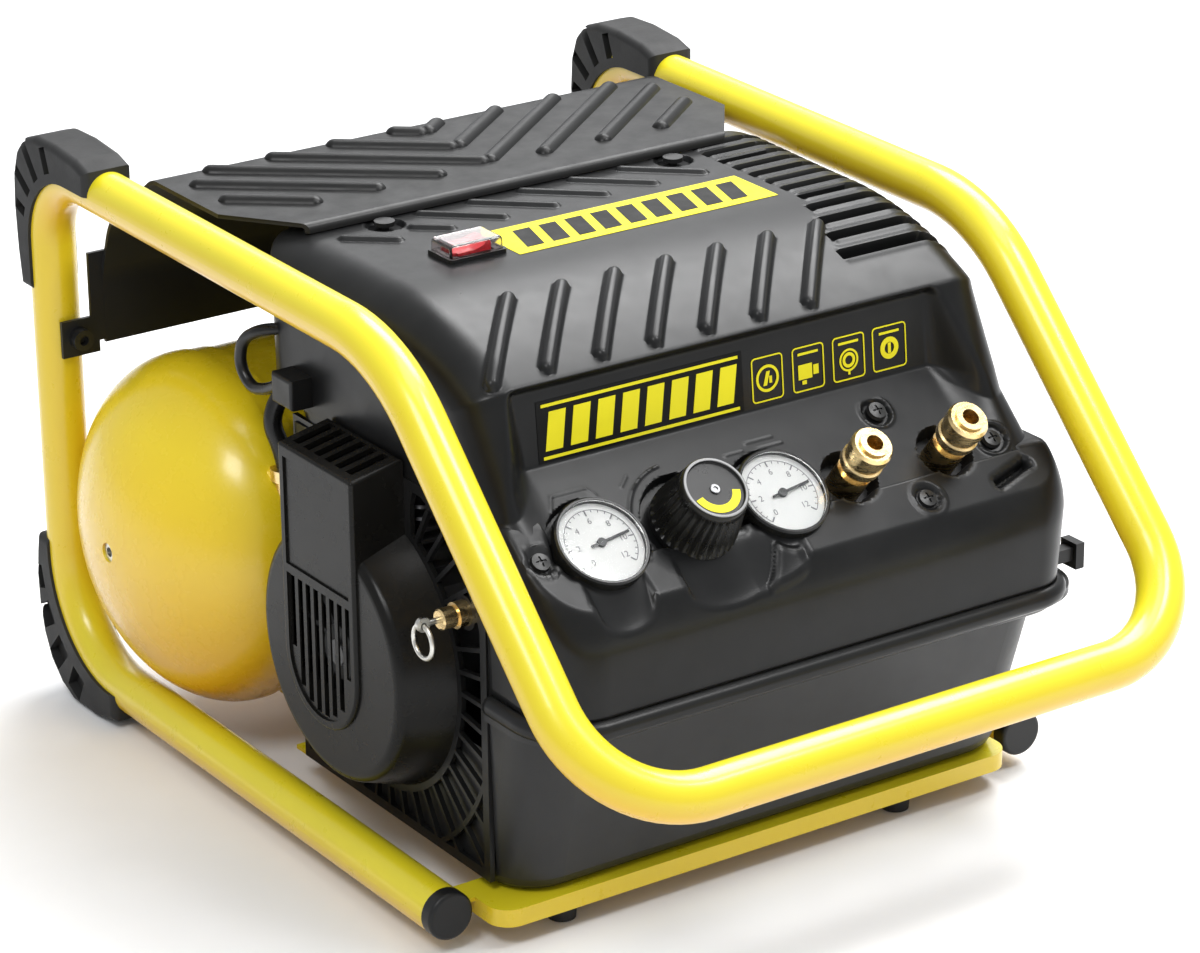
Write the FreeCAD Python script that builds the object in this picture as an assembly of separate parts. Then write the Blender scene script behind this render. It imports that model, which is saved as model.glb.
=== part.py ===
import FreeCAD, Part
import math
import os

# Roll-cage air compressor: a bent tube cage carries a horizontal air tank at the rear and a
# plastic housing at the front, with the motor and the oil-free pump inside the housing.
# Millimetres, +Z up, +Y towards the rear, +X to the right of someone facing the control panel.
# Everything is drawn in the cage's own frame: x = 0 on the centre plane, y = 0 on the rear
# uprights' centreline and z = 0 on the bottom tubes' centreline. save() moves each piece so
# that the origin is the middle of the underside.

# ---- driving dimensions -------------------------------------------------------------------
CAGE_HALF = 200.0            # centre plane to tube centreline
TUBE_R = 14.0
TUBE_WALL = 2.0
TUBE_FRONT_Y = -424.0        # front ends of the bottom tubes
CAGE_TOP_REAR_Z = 317.9
CAGE_TOP_FRONT = (-383.3, 314.7)
HANDLE = (-581.8, 116.7)     # y, z of the handle bar
BEND_REAR_BOTTOM = 70.0
BEND_REAR_TOP = 48.0
BEND_SHOULDER = 110.0
BEND_HANDLE = 65.0
FLOOR_Z = -22.0              # what the feet stand on
REAR_Y = 18.0                # rear face of the corner protectors
FRONT_Y = HANDLE[0] - TUBE_R
ORIGIN_SHIFT = FreeCAD.Vector(0, -(REAR_Y + FRONT_Y) / 2, -FLOOR_Z)

TANK_Y, TANK_Z = -107.0, 110.0
TANK_R = 107.0               # outside of the dished ends' skirts
TANK_WALL = 2.5
TANK_SKIRT_X = 141.5         # inner edge of the skirts
TANK_JOGGLE = 1.2            # the skirt is this much smaller than the dome's rim
TANK_TANGENT_X = 158.0       # where the dish begins
TANK_DISH = 72.0

MOTOR_Y, MOTOR_Z = -311.5, 112.0
SHAFT_R = 7.5
CRANK_X = -134.0
CRANK_THROW = 9.0
BORE_R = 25.0
CYLINDER_TOP = MOTOR_Z + 100
RUN_CLEARANCE = 0.05

HOUSING_LEFT, HOUSING_RIGHT = -168.0, 181.0
HOUSING_WALL = 3.0
HOUSING_REAR_Y = -219.0
SEAM_Z = 112.0
TOP_Z = 318.5
BUMPER = dict(left=-170.0, right=207.0, front=-482.0, top=186.0)

PANEL_TOP = (-418.7, 233.2)      # y, z of the control panel's upper edge
PANEL_BOTTOM = (-471.0, 191.5)
INSTRUMENT_ROW = 44.6            # down the panel's slope from its upper edge
GAUGES_X = (-115.0, 5.0)
KNOB_X = -53.0
COUPLERS_X = (53.0, 120.0)

FAN_COVER_FACE_X = -203.0
GRILLE_X = -169.0
COVER_FACE_R, COVER_BASE_R = 73.0, 83.0

V = FreeCAD.Vector
X, Y, Z = V(1, 0, 0), V(0, 1, 0), V(0, 0, 1)
os.makedirs("parts", exist_ok=True)


# ---- helpers ------------------------------------------------------------------------------
def save(name, shape):
    """Write one node, moved from the cage's frame to the part's own frame."""
    moved = shape.copy()
    moved.translate(ORIGIN_SHIFT)
    moved.exportStep("parts/" + name + ".step")


def group(shapes):
    """Separate solids that share one node."""
    return Part.makeCompound(list(shapes))


def block(x0, x1, y0, y1, z0, z1):
    return Part.makeBox(x1 - x0, y1 - y0, z1 - z0, V(x0, y0, z0))


def rod(start, axis, length, radius):
    return Part.makeCylinder(radius, length, start, axis)


def ring(start, axis, length, outer, inner):
    return rod(start, axis, length, outer).cut(rod(start, axis, length, inner))


def mirror_x(shape):
    return shape.mirror(V(0, 0, 0), X)


def fuse_all(shapes):
    whole = shapes[0].fuse(list(shapes[1:])) if len(shapes) > 1 else shapes[0]
    return whole.removeSplitter()


def rounded_path(points, radii):
    """Straight runs joined by tangent arcs; radii has one value per inner point."""
    edges = []
    start = points[0]
    for before, corner, after, radius in zip(points, points[1:], points[2:], radii):
        into = (corner - before).normalize()
        out = (after - corner).normalize()
        turn = into.getAngle(out)
        reach = radius * math.tan(turn / 2)
        arc_start = corner - into * reach
        arc_end = corner + out * reach
        inward = (out - into).normalize()
        centre = corner + inward * (radius / math.cos(turn / 2))
        arc_middle = centre - inward * radius
        if (arc_start - start).Length > 1e-6:
            edges.append(Part.LineSegment(start, arc_start).toShape())
        edges.append(Part.Arc(arc_start, arc_middle, arc_end).toShape())
        start = arc_end
    edges.append(Part.LineSegment(start, points[-1]).toShape())
    return edges


def sweep_round(points, radii, radius):
    """A round bar along a rounded path."""
    path = Part.Wire(rounded_path(points, radii))
    circle = Part.Wire(Part.makeCircle(radius, points[0], points[1] - points[0]))
    return path.makePipeShell([circle], True, False)


def yz(y, z, x=0.0):
    return V(x, y, z)


def extrude_yz(outline, x0, x1):
    """Extrude a closed outline of (y, z) points from x0 to x1."""
    points = [V(x0, y, z) for y, z in outline]
    face = Part.Face(Part.makePolygon(points + points[:1]))
    return face.extrude(V(x1 - x0, 0, 0))


def strip_yz(points, radii, thickness, x0, x1):
    """Sheet metal: a bent strip of even thickness, seen along X, extruded from x0 to x1."""
    sides = []
    for side in (1, -1):
        shifted = []
        turned = []
        for i, here in enumerate(points):
            into = (here - points[i - 1]).normalize() if i else None
            out = (points[i + 1] - here).normalize() if i < len(points) - 1 else None
            one, two = into or out, out or into
            normal_one = X.cross(one)
            normal_two = X.cross(two)
            mitre = (normal_one + normal_two).normalize()
            shift = thickness / 2 / mitre.dot(normal_one)
            shifted.append(here + mitre * (shift * side))
            if 0 < i < len(points) - 1:
                bend = 1 if X.dot(one.cross(two)) > 0 else -1
                turned.append(radii[i - 1] - bend * side * thickness / 2)
        sides.append(rounded_path(shifted, turned))
    first, second = sides
    ends = []
    for end in (0, -1):
        ends.append(Part.LineSegment(first[end].Vertexes[end].Point,
                                     second[end].Vertexes[end].Point).toShape())
    outline = Part.Wire(Part.__sortEdges__(first + second + ends))
    face = Part.Face(outline)
    face.translate(V(x0, 0, 0))
    return face.extrude(V(x1 - x0, 0, 0))


def rounded_plan(x0, x1, y0, y1, z0, z1, radius):
    """A box whose upright edges are rounded."""
    body = block(x0, x1, y0, y1, z0, z1)
    upright = [e for e in body.Edges if abs(e.tangentAt(e.FirstParameter).z) > 0.9]
    return body.makeFillet(radius, upright)


def revolve_x(outline, y, z):
    """Turn an outline of (x, radius) points about the X axis through (y, z)."""
    points = [V(x, y + r, z) for x, r in outline]
    face = Part.Face(Part.makePolygon(points + points[:1]))
    return face.revolve(V(0, y, z), X, 360)


# ---- control panel frame ------------------------------------------------------------------
PANEL_DOWN = yz(PANEL_BOTTOM[0] - PANEL_TOP[0], PANEL_BOTTOM[1] - PANEL_TOP[1]).normalize()
PANEL_OUT = PANEL_DOWN.cross(X)


def on_panel(x, down=INSTRUMENT_ROW, out=0.0):
    """A point given by its place on the panel and its height off it."""
    return yz(PANEL_TOP[0], PANEL_TOP[1], x) + PANEL_DOWN * down + PANEL_OUT * out


def turned_on_panel(outline, x, down=INSTRUMENT_ROW):
    """Turn an outline of (height, radius) points about the panel's normal at x."""
    base = on_panel(x, down)
    points = [base + PANEL_OUT * h + X * r for h, r in outline]
    face = Part.Face(Part.makePolygon(points + points[:1]))
    return face.revolve(base, PANEL_OUT, 360)


def box_on_panel(x0, x1, down0, down1, out0, out1):
    corner = on_panel(x0, down0, out0)
    base = Part.Face(Part.makePolygon([
        corner,
        corner + X * (x1 - x0),
        corner + X * (x1 - x0) + PANEL_DOWN * (down1 - down0),
        corner + PANEL_DOWN * (down1 - down0),
        corner]))
    return base.extrude(PANEL_OUT * (out1 - out0))


# ---- cage ---------------------------------------------------------------------------------
def cage_corners():
    right = [
        V(CAGE_HALF, TUBE_FRONT_Y, 0),
        V(CAGE_HALF, 0, 0),
        V(CAGE_HALF, 0, CAGE_TOP_REAR_Z),
        V(CAGE_HALF, *CAGE_TOP_FRONT),
        V(CAGE_HALF, *HANDLE)]
    left = [V(-p.x, p.y, p.z) for p in reversed(right)]
    return right + left


def cage_solid(radius):
    bends = [BEND_REAR_BOTTOM, BEND_REAR_TOP, BEND_SHOULDER, BEND_HANDLE]
    return sweep_round(cage_corners(), bends + bends[::-1], radius)


CAGE_OUTSIDE = cage_solid(TUBE_R)


def cage_tube():
    return CAGE_OUTSIDE.cut(cage_solid(TUBE_R - TUBE_WALL))


def tube_end_caps():
    """Black plugs with a domed head in the open front ends of the bottom tubes."""
    caps = []
    for x in (-CAGE_HALF, CAGE_HALF):
        front = V(x, TUBE_FRONT_Y, 0)
        head = rod(front - Y * 9, Y, 9, TUBE_R + 0.2)
        rim = [e for e in head.Edges if abs(e.CenterOfMass.y - (TUBE_FRONT_Y - 9)) < 0.1]
        head = head.makeFillet(2.5, rim)
        caps.append(head.fuse(rod(front, Y, 16, TUBE_R - TUBE_WALL - 0.1)).removeSplitter())
    return group(caps)


PROTECTOR_HALF_WIDTH = 16.0
POCKET_DEPTH = 6.0
PROTECTOR_SIDE_R = 4.5
PROTECTOR_CROWN_R = 9.0


def protector(outline, inner_corner, bend, x_middle):
    """A rubber block outside one tube bend: it laps the outer half of the tube."""
    block_solid = extrude_yz(outline, x_middle - PROTECTOR_HALF_WIDTH, x_middle + PROTECTOR_HALF_WIDTH)
    across = [e for e in block_solid.Edges if abs(e.tangentAt(e.FirstParameter).x) > 0.9
              and min(abs(e.CenterOfMass.y - y) + abs(e.CenterOfMass.z - z) for y, z in outline[3:-2]
                      if z > FLOOR_Z + 20) < 0.1]
    if across:
        block_solid = block_solid.makeFillet(PROTECTOR_CROWN_R, across)
    sides = [e for e in block_solid.Edges if abs(e.tangentAt(e.FirstParameter).x) < 0.1]
    block_solid = block_solid.makeFillet(PROTECTOR_SIDE_R, sides)
    corner_y, corner_z, down = inner_corner
    far = 200.0
    other_z = corner_z + down * far
    inside = block(x_middle - far, x_middle + far, corner_y - far, corner_y,
                   min(corner_z, other_z), max(corner_z, other_z))
    edge = [e for e in inside.Edges
            if abs(e.tangentAt(e.FirstParameter).x) > 0.9
            and abs(e.CenterOfMass.y - corner_y) < 0.1 and abs(e.CenterOfMass.z - corner_z) < 0.1]
    inside = inside.makeFillet(bend, edge)
    return block_solid.cut(inside).cut(CAGE_OUTSIDE)


def radial_pocket(x_middle, side, centre, angle, r0, r1, width):
    """A pocket sunk into one side of a protector, pointing away from the bend's centre."""
    outer_x = x_middle + side * PROTECTOR_HALF_WIDTH
    inner_x = outer_x - side * POCKET_DEPTH
    pocket = block(min(outer_x, inner_x) - 0.1, max(outer_x, inner_x) + 0.1, r0, r1, -width / 2, width / 2)
    pocket.rotate(V(0, 0, 0), X, angle)
    pocket.translate(V(0, *centre))
    return pocket


def top_protectors():
    centre = (-BEND_REAR_TOP, CAGE_TOP_REAR_Z - BEND_REAR_TOP)
    crown = [(REAR_Y, 290), (REAR_Y - 1.5, 310), (REAR_Y - 7, 325), (REAR_Y - 17, 335), (REAR_Y - 31, 339.5),
             (-36, 340), (-62, 337.5), (-76, 333.2)]
    outline = [(0, 240), (13.5, 240), (REAR_Y - 1.5, 262)] + crown + [(-76, 300)]
    both = []
    for x in (-CAGE_HALF, CAGE_HALF):
        solid = protector(outline, (0, CAGE_TOP_REAR_Z, -1), BEND_REAR_TOP, x)
        for angle, reach in ((20, 65), (36, 75), (52, 81), (70, 70)):
            for side in (-1, 1):
                solid = solid.cut(radial_pocket(x, side, centre, angle, BEND_REAR_TOP + 6, reach, 7.0))
        both.append(solid)
    return group(both)


def bottom_protectors():
    centre = (-BEND_REAR_BOTTOM, BEND_REAR_BOTTOM)
    heel = [(REAR_Y, 50), (REAR_Y - 1, 30), (REAR_Y - 5, 12), (REAR_Y - 13, -4), (REAR_Y - 26, -16),
            (REAR_Y - 40, FLOOR_Z), (-52, FLOOR_Z), (-76, -16.5)]
    outline = [(0, 78), (13.5, 78), (REAR_Y - 2, 66)] + heel + [(-76, 0)]
    both = []
    for x in (-CAGE_HALF, CAGE_HALF):
        solid = protector(outline, (0, 0, 1), BEND_REAR_BOTTOM, x)
        for angle, reach in ((-14, 87), (-30, 96), (-46, 101), (-62, 97)):
            for side in (-1, 1):
                solid = solid.cut(radial_pocket(x, side, centre, angle, BEND_REAR_BOTTOM + 10, reach, 15.0))
        both.append(solid)
    return group(both)


# ---- base tray ----------------------------------------------------------------------------
TRAY_T = 2.5
TRAY_TOP = 2.0
TRAY_LIP_Z = -8.5            # lower edge of the folded lip
TRAY_FRONT = -449.7
TRAY_HALF = 179.0
TRAY_LEFT_SIDE = -160.0         # behind the front strip the left side stays under the housing
TRAY_NOTCH_Y = -406.0
TRAY_TAB_FRONT = -423.5
TONGUE_HALF = 128.0             # half the width of the tongue under the tank
TRAY_FEET = ((-127, -431), (107, -431))
TRAY_BOLTS = ((-146, -405), (160, -405), (-146, -240), (160, -240))


def base_tray():
    """Yellow sheet tray welded between the bottom tubes, with a folded front lip."""
    z0 = TRAY_TOP - TRAY_T
    plate = rounded_plan(-TRAY_HALF, TRAY_HALF, TRAY_FRONT, -200, z0, TRAY_TOP, 14)
    lip = rounded_plan(-TRAY_HALF, TRAY_HALF, TRAY_FRONT, -200, TRAY_LIP_Z, TRAY_TOP, 14)
    lip = lip.cut(rounded_plan(-TRAY_HALF + TRAY_T, TRAY_HALF - TRAY_T, TRAY_FRONT + TRAY_T,
                               -150, TRAY_LIP_Z - 5, TRAY_TOP, 12))
    tongue = block(-TONGUE_HALF, TONGUE_HALF, -204, -126, z0, TRAY_TOP)
    tray = fuse_all([plate, lip, tongue])
    tray = tray.cut(block(-TRAY_HALF - 1, TRAY_LEFT_SIDE, TRAY_NOTCH_Y, -190, TRAY_LIP_Z - 1, TRAY_TOP + 1))
    tabs = [block(150, 188, y, y + 40, z0, TRAY_TOP) for y in (-420, -305)]
    tabs.append(block(-188, -150, TRAY_TAB_FRONT, TRAY_NOTCH_Y, z0, TRAY_TOP))
    tray = fuse_all([tray] + tabs).cut(CAGE_OUTSIDE)
    for x, y in TRAY_BOLTS:
        tray = tray.cut(rod(V(x, y, -10), Z, 20, 3.3))
    for x, y in TRAY_FEET:
        tray = tray.cut(rod(V(x, y, -10), Z, 20, 4.0))
    return tray


def tray_feet():
    feet = []
    for x, y in TRAY_FEET:
        foot = Part.makeCone(8, 10, TRAY_TOP - TRAY_T - FLOOR_Z, V(x, y, FLOOR_Z), Z)
        foot = foot.fuse(rod(V(x, y, TRAY_TOP - TRAY_T - 1), Z, TRAY_T + 1.5, 3.8))
        feet.append(foot.removeSplitter())
    return group(feet)


def tray_bolts():
    """Bolts up through the tray into the lower housing's bosses."""
    bolts = []
    for x, y in TRAY_BOLTS:
        head = rod(V(x, y, TRAY_TOP - TRAY_T - 4), Z, 4, 5.5)
        bolts.append(head.fuse(rod(V(x, y, TRAY_TOP - TRAY_T), Z, 18, 3.0)).removeSplitter())
    return group(bolts)


# ---- storage deck -------------------------------------------------------------------------
DECK_TOP = 325.0
DECK_T = 2.5
DECK_HALF = 177.0
DECK_FRONT = -208.0
SKIRT_HALF = 186.0           # the sheet behind the tank is wider than the deck

RIB_RISE = 34.0 / 42.0       # how far a rib runs back for each millimetre outward
RIB_SPACING = 34.0
RIB_R = 6.0
RIB_SUNK = 2.5               # how far each rib's axis lies under the sheet's top face


def chevron_ribs():
    """Pressed ribs that run outward and back from the centre line, like arrowheads."""
    first_tip, front, back, outer = -104.0, -176.0, -92.0, 160.0
    ribs = []
    for number in range(6):
        tip = first_tip - RIB_SPACING * number
        x0 = max(3.0, (front - tip) / RIB_RISE)
        x1 = min(outer, (back - tip) / RIB_RISE)
        for side in (-1, 1):
            start = V(side * x0, tip + x0 * RIB_RISE, DECK_TOP - RIB_SUNK)
            end = V(side * x1, tip + x1 * RIB_RISE, DECK_TOP - RIB_SUNK)
            bar = rod(start, end - start, (end - start).Length, RIB_R)
            ribs.append(bar.fuse([Part.makeSphere(RIB_R, p) for p in (start, end)]))
    return ribs


def storage_deck():
    """Ribbed black sheet over the tank, bent down behind it to the rear uprights."""
    middle = DECK_TOP - DECK_T / 2
    line = [yz(DECK_FRONT, middle - 4.4), yz(DECK_FRONT, middle), yz(-86, middle), yz(-30, 284),
            yz(-16.5, 246), yz(-16.5, 204)]
    sheet = strip_yz(line, [3, 16, 40, 30], DECK_T, -DECK_HALF, DECK_HALF)
    sheet = sheet.fuse(block(-SKIRT_HALF, SKIRT_HALF, -17.7, -15.2, 206, 262))
    for side in (-1, 1):
        corner = [V(side * DECK_HALF * 1.01, -161, 300), V(side * 139, -216, 300),
                  V(side * DECK_HALF * 1.01, -216, 300)]
        sheet = sheet.cut(Part.Face(Part.makePolygon(corner + corner[:1])).extrude(Z * 40))
        sheet = sheet.fuse(block(min(side * 181, side * 206), max(side * 181, side * 206),
                                 -17.7, -15.2, 199, 222))
    slab = block(-DECK_HALF, DECK_HALF, -204, -84, middle, DECK_TOP + RIB_R)
    for rib in chevron_ribs():
        sheet = sheet.fuse(rib.common(slab))
    for side in (-1, 1):
        sheet = sheet.cut(rod(V(side * 195, -30, 210.5), Y, 20, 4.2))
    return sheet.removeSplitter()


def deck_screws():
    """Socket-head screws through the deck's lower tabs into the rear uprights."""
    screws = []
    for x in (-195, 195):
        head = rod(V(x, -17.7 - 7, 210.5), Y, 7, 6.5)
        head = head.cut(rod(V(x, -17.7 - 7, 210.5), Y, 4, 3.0))
        shank = rod(V(x, -17.7, 210.5), Y, 5.0, 4.0)
        screws.append(head.fuse(shank).removeSplitter().cut(CAGE_OUTSIDE))
    return group(screws)


# ---- tank ---------------------------------------------------------------------------------
def dished_solid(skirt_x, tangent_x, radius, dish):
    """A solid dished end: a straight skirt, then half of a flattened ball."""
    axis_point = V(tangent_x, TANK_Y, TANK_Z)
    rim = axis_point + Y * radius
    tip = axis_point + X * dish
    dome_arc = Part.Arc(Part.Ellipse(rim, tip, axis_point), 0, math.pi / 2).toShape()
    start = V(skirt_x, TANK_Y, TANK_Z)
    outline = [
        dome_arc,
        Part.LineSegment(tip, start).toShape(),
        Part.LineSegment(start, start + Y * radius).toShape(),
        Part.LineSegment(start + Y * radius, rim).toShape()]
    face = Part.Face(Part.Wire(Part.__sortEdges__(outline)))
    return face.revolve(start, X, 360)


def tank_ends():
    """Two dished ends whose skirts lap over the shell, each with a plug hole in the middle."""
    outer = dished_solid(TANK_SKIRT_X, TANK_TANGENT_X, TANK_R, TANK_DISH)
    outer = outer.cut(ring(V(TANK_SKIRT_X - 1, TANK_Y, TANK_Z), X, TANK_TANGENT_X - TANK_SKIRT_X - 2,
                           TANK_R + 5, TANK_R - TANK_JOGGLE))
    inner = dished_solid(TANK_SKIRT_X - 1, TANK_TANGENT_X, TANK_R - TANK_WALL, TANK_DISH - TANK_WALL)
    end = outer.cut(inner).cut(rod(V(TANK_TANGENT_X, TANK_Y, TANK_Z), X, 90, 6.0))
    return group([end, mirror_x(end)])


def tank_shell():
    half = TANK_TANGENT_X - 4
    shell = ring(V(-half, TANK_Y, TANK_Z), X, 2 * half, TANK_R - TANK_WALL, TANK_R - 2 * TANK_WALL)
    shell = shell.cut(rod(V(DRAIN_X, DRAIN_Y, -20), Z, 60, 5.0))
    return shell


def tank_plugs():
    """Threaded plugs in the middle of the two dished ends."""
    plugs = []
    for side in (-1, 1):
        tip = TANK_TANGENT_X + TANK_DISH
        plug = rod(V(tip - 10, TANK_Y, TANK_Z), X, 8.5, 6.0)
        socket = rod(V(tip - 6, TANK_Y, TANK_Z), X, 10, 3.0)
        plug = plug.cut(socket)
        plugs.append(plug if side > 0 else mirror_x(plug))
    return group(plugs)


BRACKET_X = 118.0


def tank_brackets():
    """Two welded gussets that carry the tank on the tray's rear tongue."""
    outside = rod(V(-200, TANK_Y, TANK_Z), X, 400, TANK_R - TANK_WALL)
    gussets = []
    for x in (-BRACKET_X, BRACKET_X):
        foot = block(x - 7, x + 7, -186, -128, TRAY_TOP, TRAY_TOP + 3)
        web = block(x - 2, x + 2, -186, -128, TRAY_TOP, 60)
        gussets.append(foot.fuse(web).removeSplitter().cut(outside))
    return group(gussets)


# ---- drain cock ---------------------------------------------------------------------------
DRAIN_X, DRAIN_Y = 0.0, -88.0
DRAIN_AXIS_Z = -7.0


def drain_cock_body():
    stem = rod(V(DRAIN_X, DRAIN_Y, -14), Z, 24, 5.0)
    collar = rod(V(DRAIN_X, DRAIN_Y, -14), Z, 16.5, 8.0)
    nozzle = rod(V(DRAIN_X, DRAIN_Y, DRAIN_AXIS_Z), Y, 26, 4.0)
    seat = rod(V(DRAIN_X - 13, DRAIN_Y, DRAIN_AXIS_Z), X, 10, 5.5)
    body = fuse_all([stem, collar, nozzle, seat])
    tank = rod(V(-60, TANK_Y, TANK_Z), X, 120, TANK_R - TANK_WALL)
    body = body.cut(tank).fuse(stem.common(tank)).removeSplitter()
    body = body.cut(rod(V(DRAIN_X, DRAIN_Y + 2, DRAIN_AXIS_Z), Y, 30, 2.2))
    return body.cut(rod(V(DRAIN_X - 14, DRAIN_Y, DRAIN_AXIS_Z), X, 10, 2.5 + RUN_CLEARANCE))


def drain_cock_tap():
    pin = rod(V(DRAIN_X - 20, DRAIN_Y, DRAIN_AXIS_Z), X, 15, 2.5)
    hub = rod(V(DRAIN_X - 18, DRAIN_Y, DRAIN_AXIS_Z), X, 4.5, 5.0)
    lever = block(DRAIN_X - 17.5, DRAIN_X - 14, DRAIN_Y, DRAIN_Y + 14,
                  DRAIN_AXIS_Z - 3.5, DRAIN_AXIS_Z + 3.5)
    return fuse_all([pin, hub, lever])


# ---- air and electric lines ---------------------------------------------------------------
HOSE_R = 5.5
HOSE_ROUTE = [V(-158, -197, 177), V(-160, -195, 190), V(-163, -190, 203), V(-159, -191, 217),
              V(-150, -199, 230)]
LEAD_R = 3.5
LEAD_ROUTE = [V(-160, -213, 267), V(-174, -203, 267), V(-178, -187, 257), V(-178, -183, 240),
              V(-177, -194, 229), V(-176, -210, 233), V(-175.5, -225, 241)]


def held_line(route, radius):
    """A held line: each arc is as large as its two runs allow."""
    radii = []
    for before, corner, after in zip(route, route[1:], route[2:]):
        into, out = corner - before, after - corner
        shorter = min(into.Length, out.Length)
        radii.append(0.45 * shorter / math.tan(into.getAngle(out) / 2))
    line = sweep_round(route, radii, radius)
    path_length = sum(e.Length for e in rounded_path(route, radii))
    expected = math.pi * radius ** 2 * path_length
    print("line length %.1f radii %s volume ratio %.4f" % (
        path_length, [round(r, 1) for r in radii], line.Volume / expected))
    return line


def delivery_hose():
    return held_line(HOSE_ROUTE, HOSE_R)


def check_valve():
    """Non-return valve on the tank's shoulder, where the delivery hose ends."""
    base = HOSE_ROUTE[0]
    body = rod(V(base.x, base.y, 150), Z, base.z - 150, 7.5)
    hexagon = rod(V(base.x, base.y, base.z - 7), Z, 7, 9.5)
    inside = dished_solid(-10, TANK_TANGENT_X, TANK_R + 0.05, TANK_DISH + 0.05)
    return body.fuse(hexagon).removeSplitter().cut(mirror_x(inside))


def motor_lead():
    return held_line(LEAD_ROUTE, LEAD_R)


def cable_glands():
    """The lead's clamp on the left wall, and the mains inlet gland low on the rear wall."""
    end = LEAD_ROUTE[-1]
    clamp = block(-182, HOUSING_LEFT, end.y - 22, end.y, end.z - 9, end.z + 9)
    upright = [e for e in clamp.Edges if e.CenterOfMass.x < -181]
    clamp = clamp.makeFillet(2.0, upright)
    start = V(150, HOUSING_REAR_Y, 32)
    mains = fuse_all([rod(start, Y, 5, 13), rod(start, Y, 20, 9.5)])
    mains = mains.cut(rod(start, Y, 30, 4.2))
    return group([clamp, mains])


# ---- housing ------------------------------------------------------------------------------
RIDGE = (-412.1, 287.4)                       # y, z of the brow's front edge
SHELF_REAR_Y, SHELF_Z = -185.0, 226.0         # the top reaches back over the tank
PANEL_LENGTH = 71.0
CORNER_R, TOP_EDGE_R = 30.0, 36.0
SWITCH_CENTRE = V(-88, -286, TOP_Z)
TOP_SCREWS = ((-100, -218), (100, -218))
PANEL_SCREWS = ((-153, 45), (153, 45), (92, 10), (92, 70))
GRILLE_BARS = 42
GRILLE_BAR_T = 2.6
POD_Z = 95.0                                  # underside of the rounded swelling at the right end
GRILLE_BOX = (-424.0, -226.0, 8.0, 222.0)     # y0, y1, z0, z1
RESET_CENTRE = (-452.0, 120.0)                # y, z on the right-hand end


def upper_profile(inset):
    """Side outline of the upper housing, from the seam to the top."""
    foot = yz(*PANEL_TOP) + PANEL_DOWN * PANEL_LENGTH
    outline = [
        yz(HOUSING_REAR_Y, SEAM_Z - 40), yz(foot.y, SEAM_Z - 40), foot, yz(*PANEL_TOP),
        yz(-410, 240), yz(-403, 283), yz(*RIDGE)]
    edges = [Part.LineSegment(a, b).toShape() for a, b in zip(outline, outline[1:])]
    brow = Part.Arc(yz(*RIDGE), yz(-362, 309.5), yz(-296, TOP_Z)).toShape()
    edges.append(brow)
    back = [yz(-296, TOP_Z), yz(SHELF_REAR_Y, TOP_Z), yz(SHELF_REAR_Y, SHELF_Z),
            yz(HOUSING_REAR_Y, SHELF_Z), outline[0]]
    edges += [Part.LineSegment(a, b).toShape() for a, b in zip(back, back[1:])]
    face = Part.Face(Part.Wire(edges))
    if inset:
        face = face.makeOffset2D(-inset)
    face.translate(V(-250, 0, 0))
    return face.extrude(V(500, 0, 0))


def upper_envelope(inset):
    side_view = upper_profile(inset)
    x0, x1 = HOUSING_LEFT + inset, HOUSING_RIGHT - inset
    plan = rounded_plan(x0, x1, -600, SHELF_REAR_Y - inset, 0, 400, CORNER_R - inset)
    front_view = block(x0, x1, -600, 0, 0, TOP_Z - inset)
    long_top = [e for e in front_view.Edges
                if abs(e.tangentAt(e.FirstParameter).y) > 0.9 and e.CenterOfMass.z > 200]
    front_view = front_view.makeFillet(TOP_EDGE_R - inset, long_top)
    body = side_view.common(plan).common(front_view)
    nose = rounded_plan(BUMPER["left"] + inset, BUMPER["right"] - inset, BUMPER["front"] + inset,
                        HOUSING_REAR_Y - 40, SEAM_Z - 40, BUMPER["top"] - inset, 34 - inset)
    top = [e for e in nose.Edges if abs(e.CenterOfMass.z - (BUMPER["top"] - inset)) < 0.1]
    nose = nose.makeFillet(9.0, top)
    right, high = BUMPER["right"] - inset, BUMPER["top"] - inset
    slope = [V(right - 15, -600, high + 1), V(right + 9, -600, high + 1), V(right + 9, -600, high - 60),
             V(right, -600, high - 36)]
    nose = nose.cut(Part.Face(Part.makePolygon(slope + slope[:1])).extrude(Y * 500))
    return body.fuse(nose).removeSplitter()


def panel_cutters():
    """Holes through the panel, from below its wall to clear above it: radius, x, slope place."""
    holes = [(28.5, x, INSTRUMENT_ROW) for x in GAUGES_X]
    holes.append((18, KNOB_X, INSTRUMENT_ROW))
    holes += [(14, x, INSTRUMENT_ROW) for x in COUPLERS_X]
    holes += [(2.6, x, down) for x, down in PANEL_SCREWS]
    return [turned_on_panel([(-26, 0), (-26, r), (30, r), (30, 0)], x, down) for r, x, down in holes]


def grille_opening():
    y0, y1, z0, z1 = GRILLE_BOX
    return block(-200, HOUSING_LEFT + HOUSING_WALL + 1, y0 - 0.3, y1 + 0.3, z0 - 0.3, z1 + 0.3)


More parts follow.
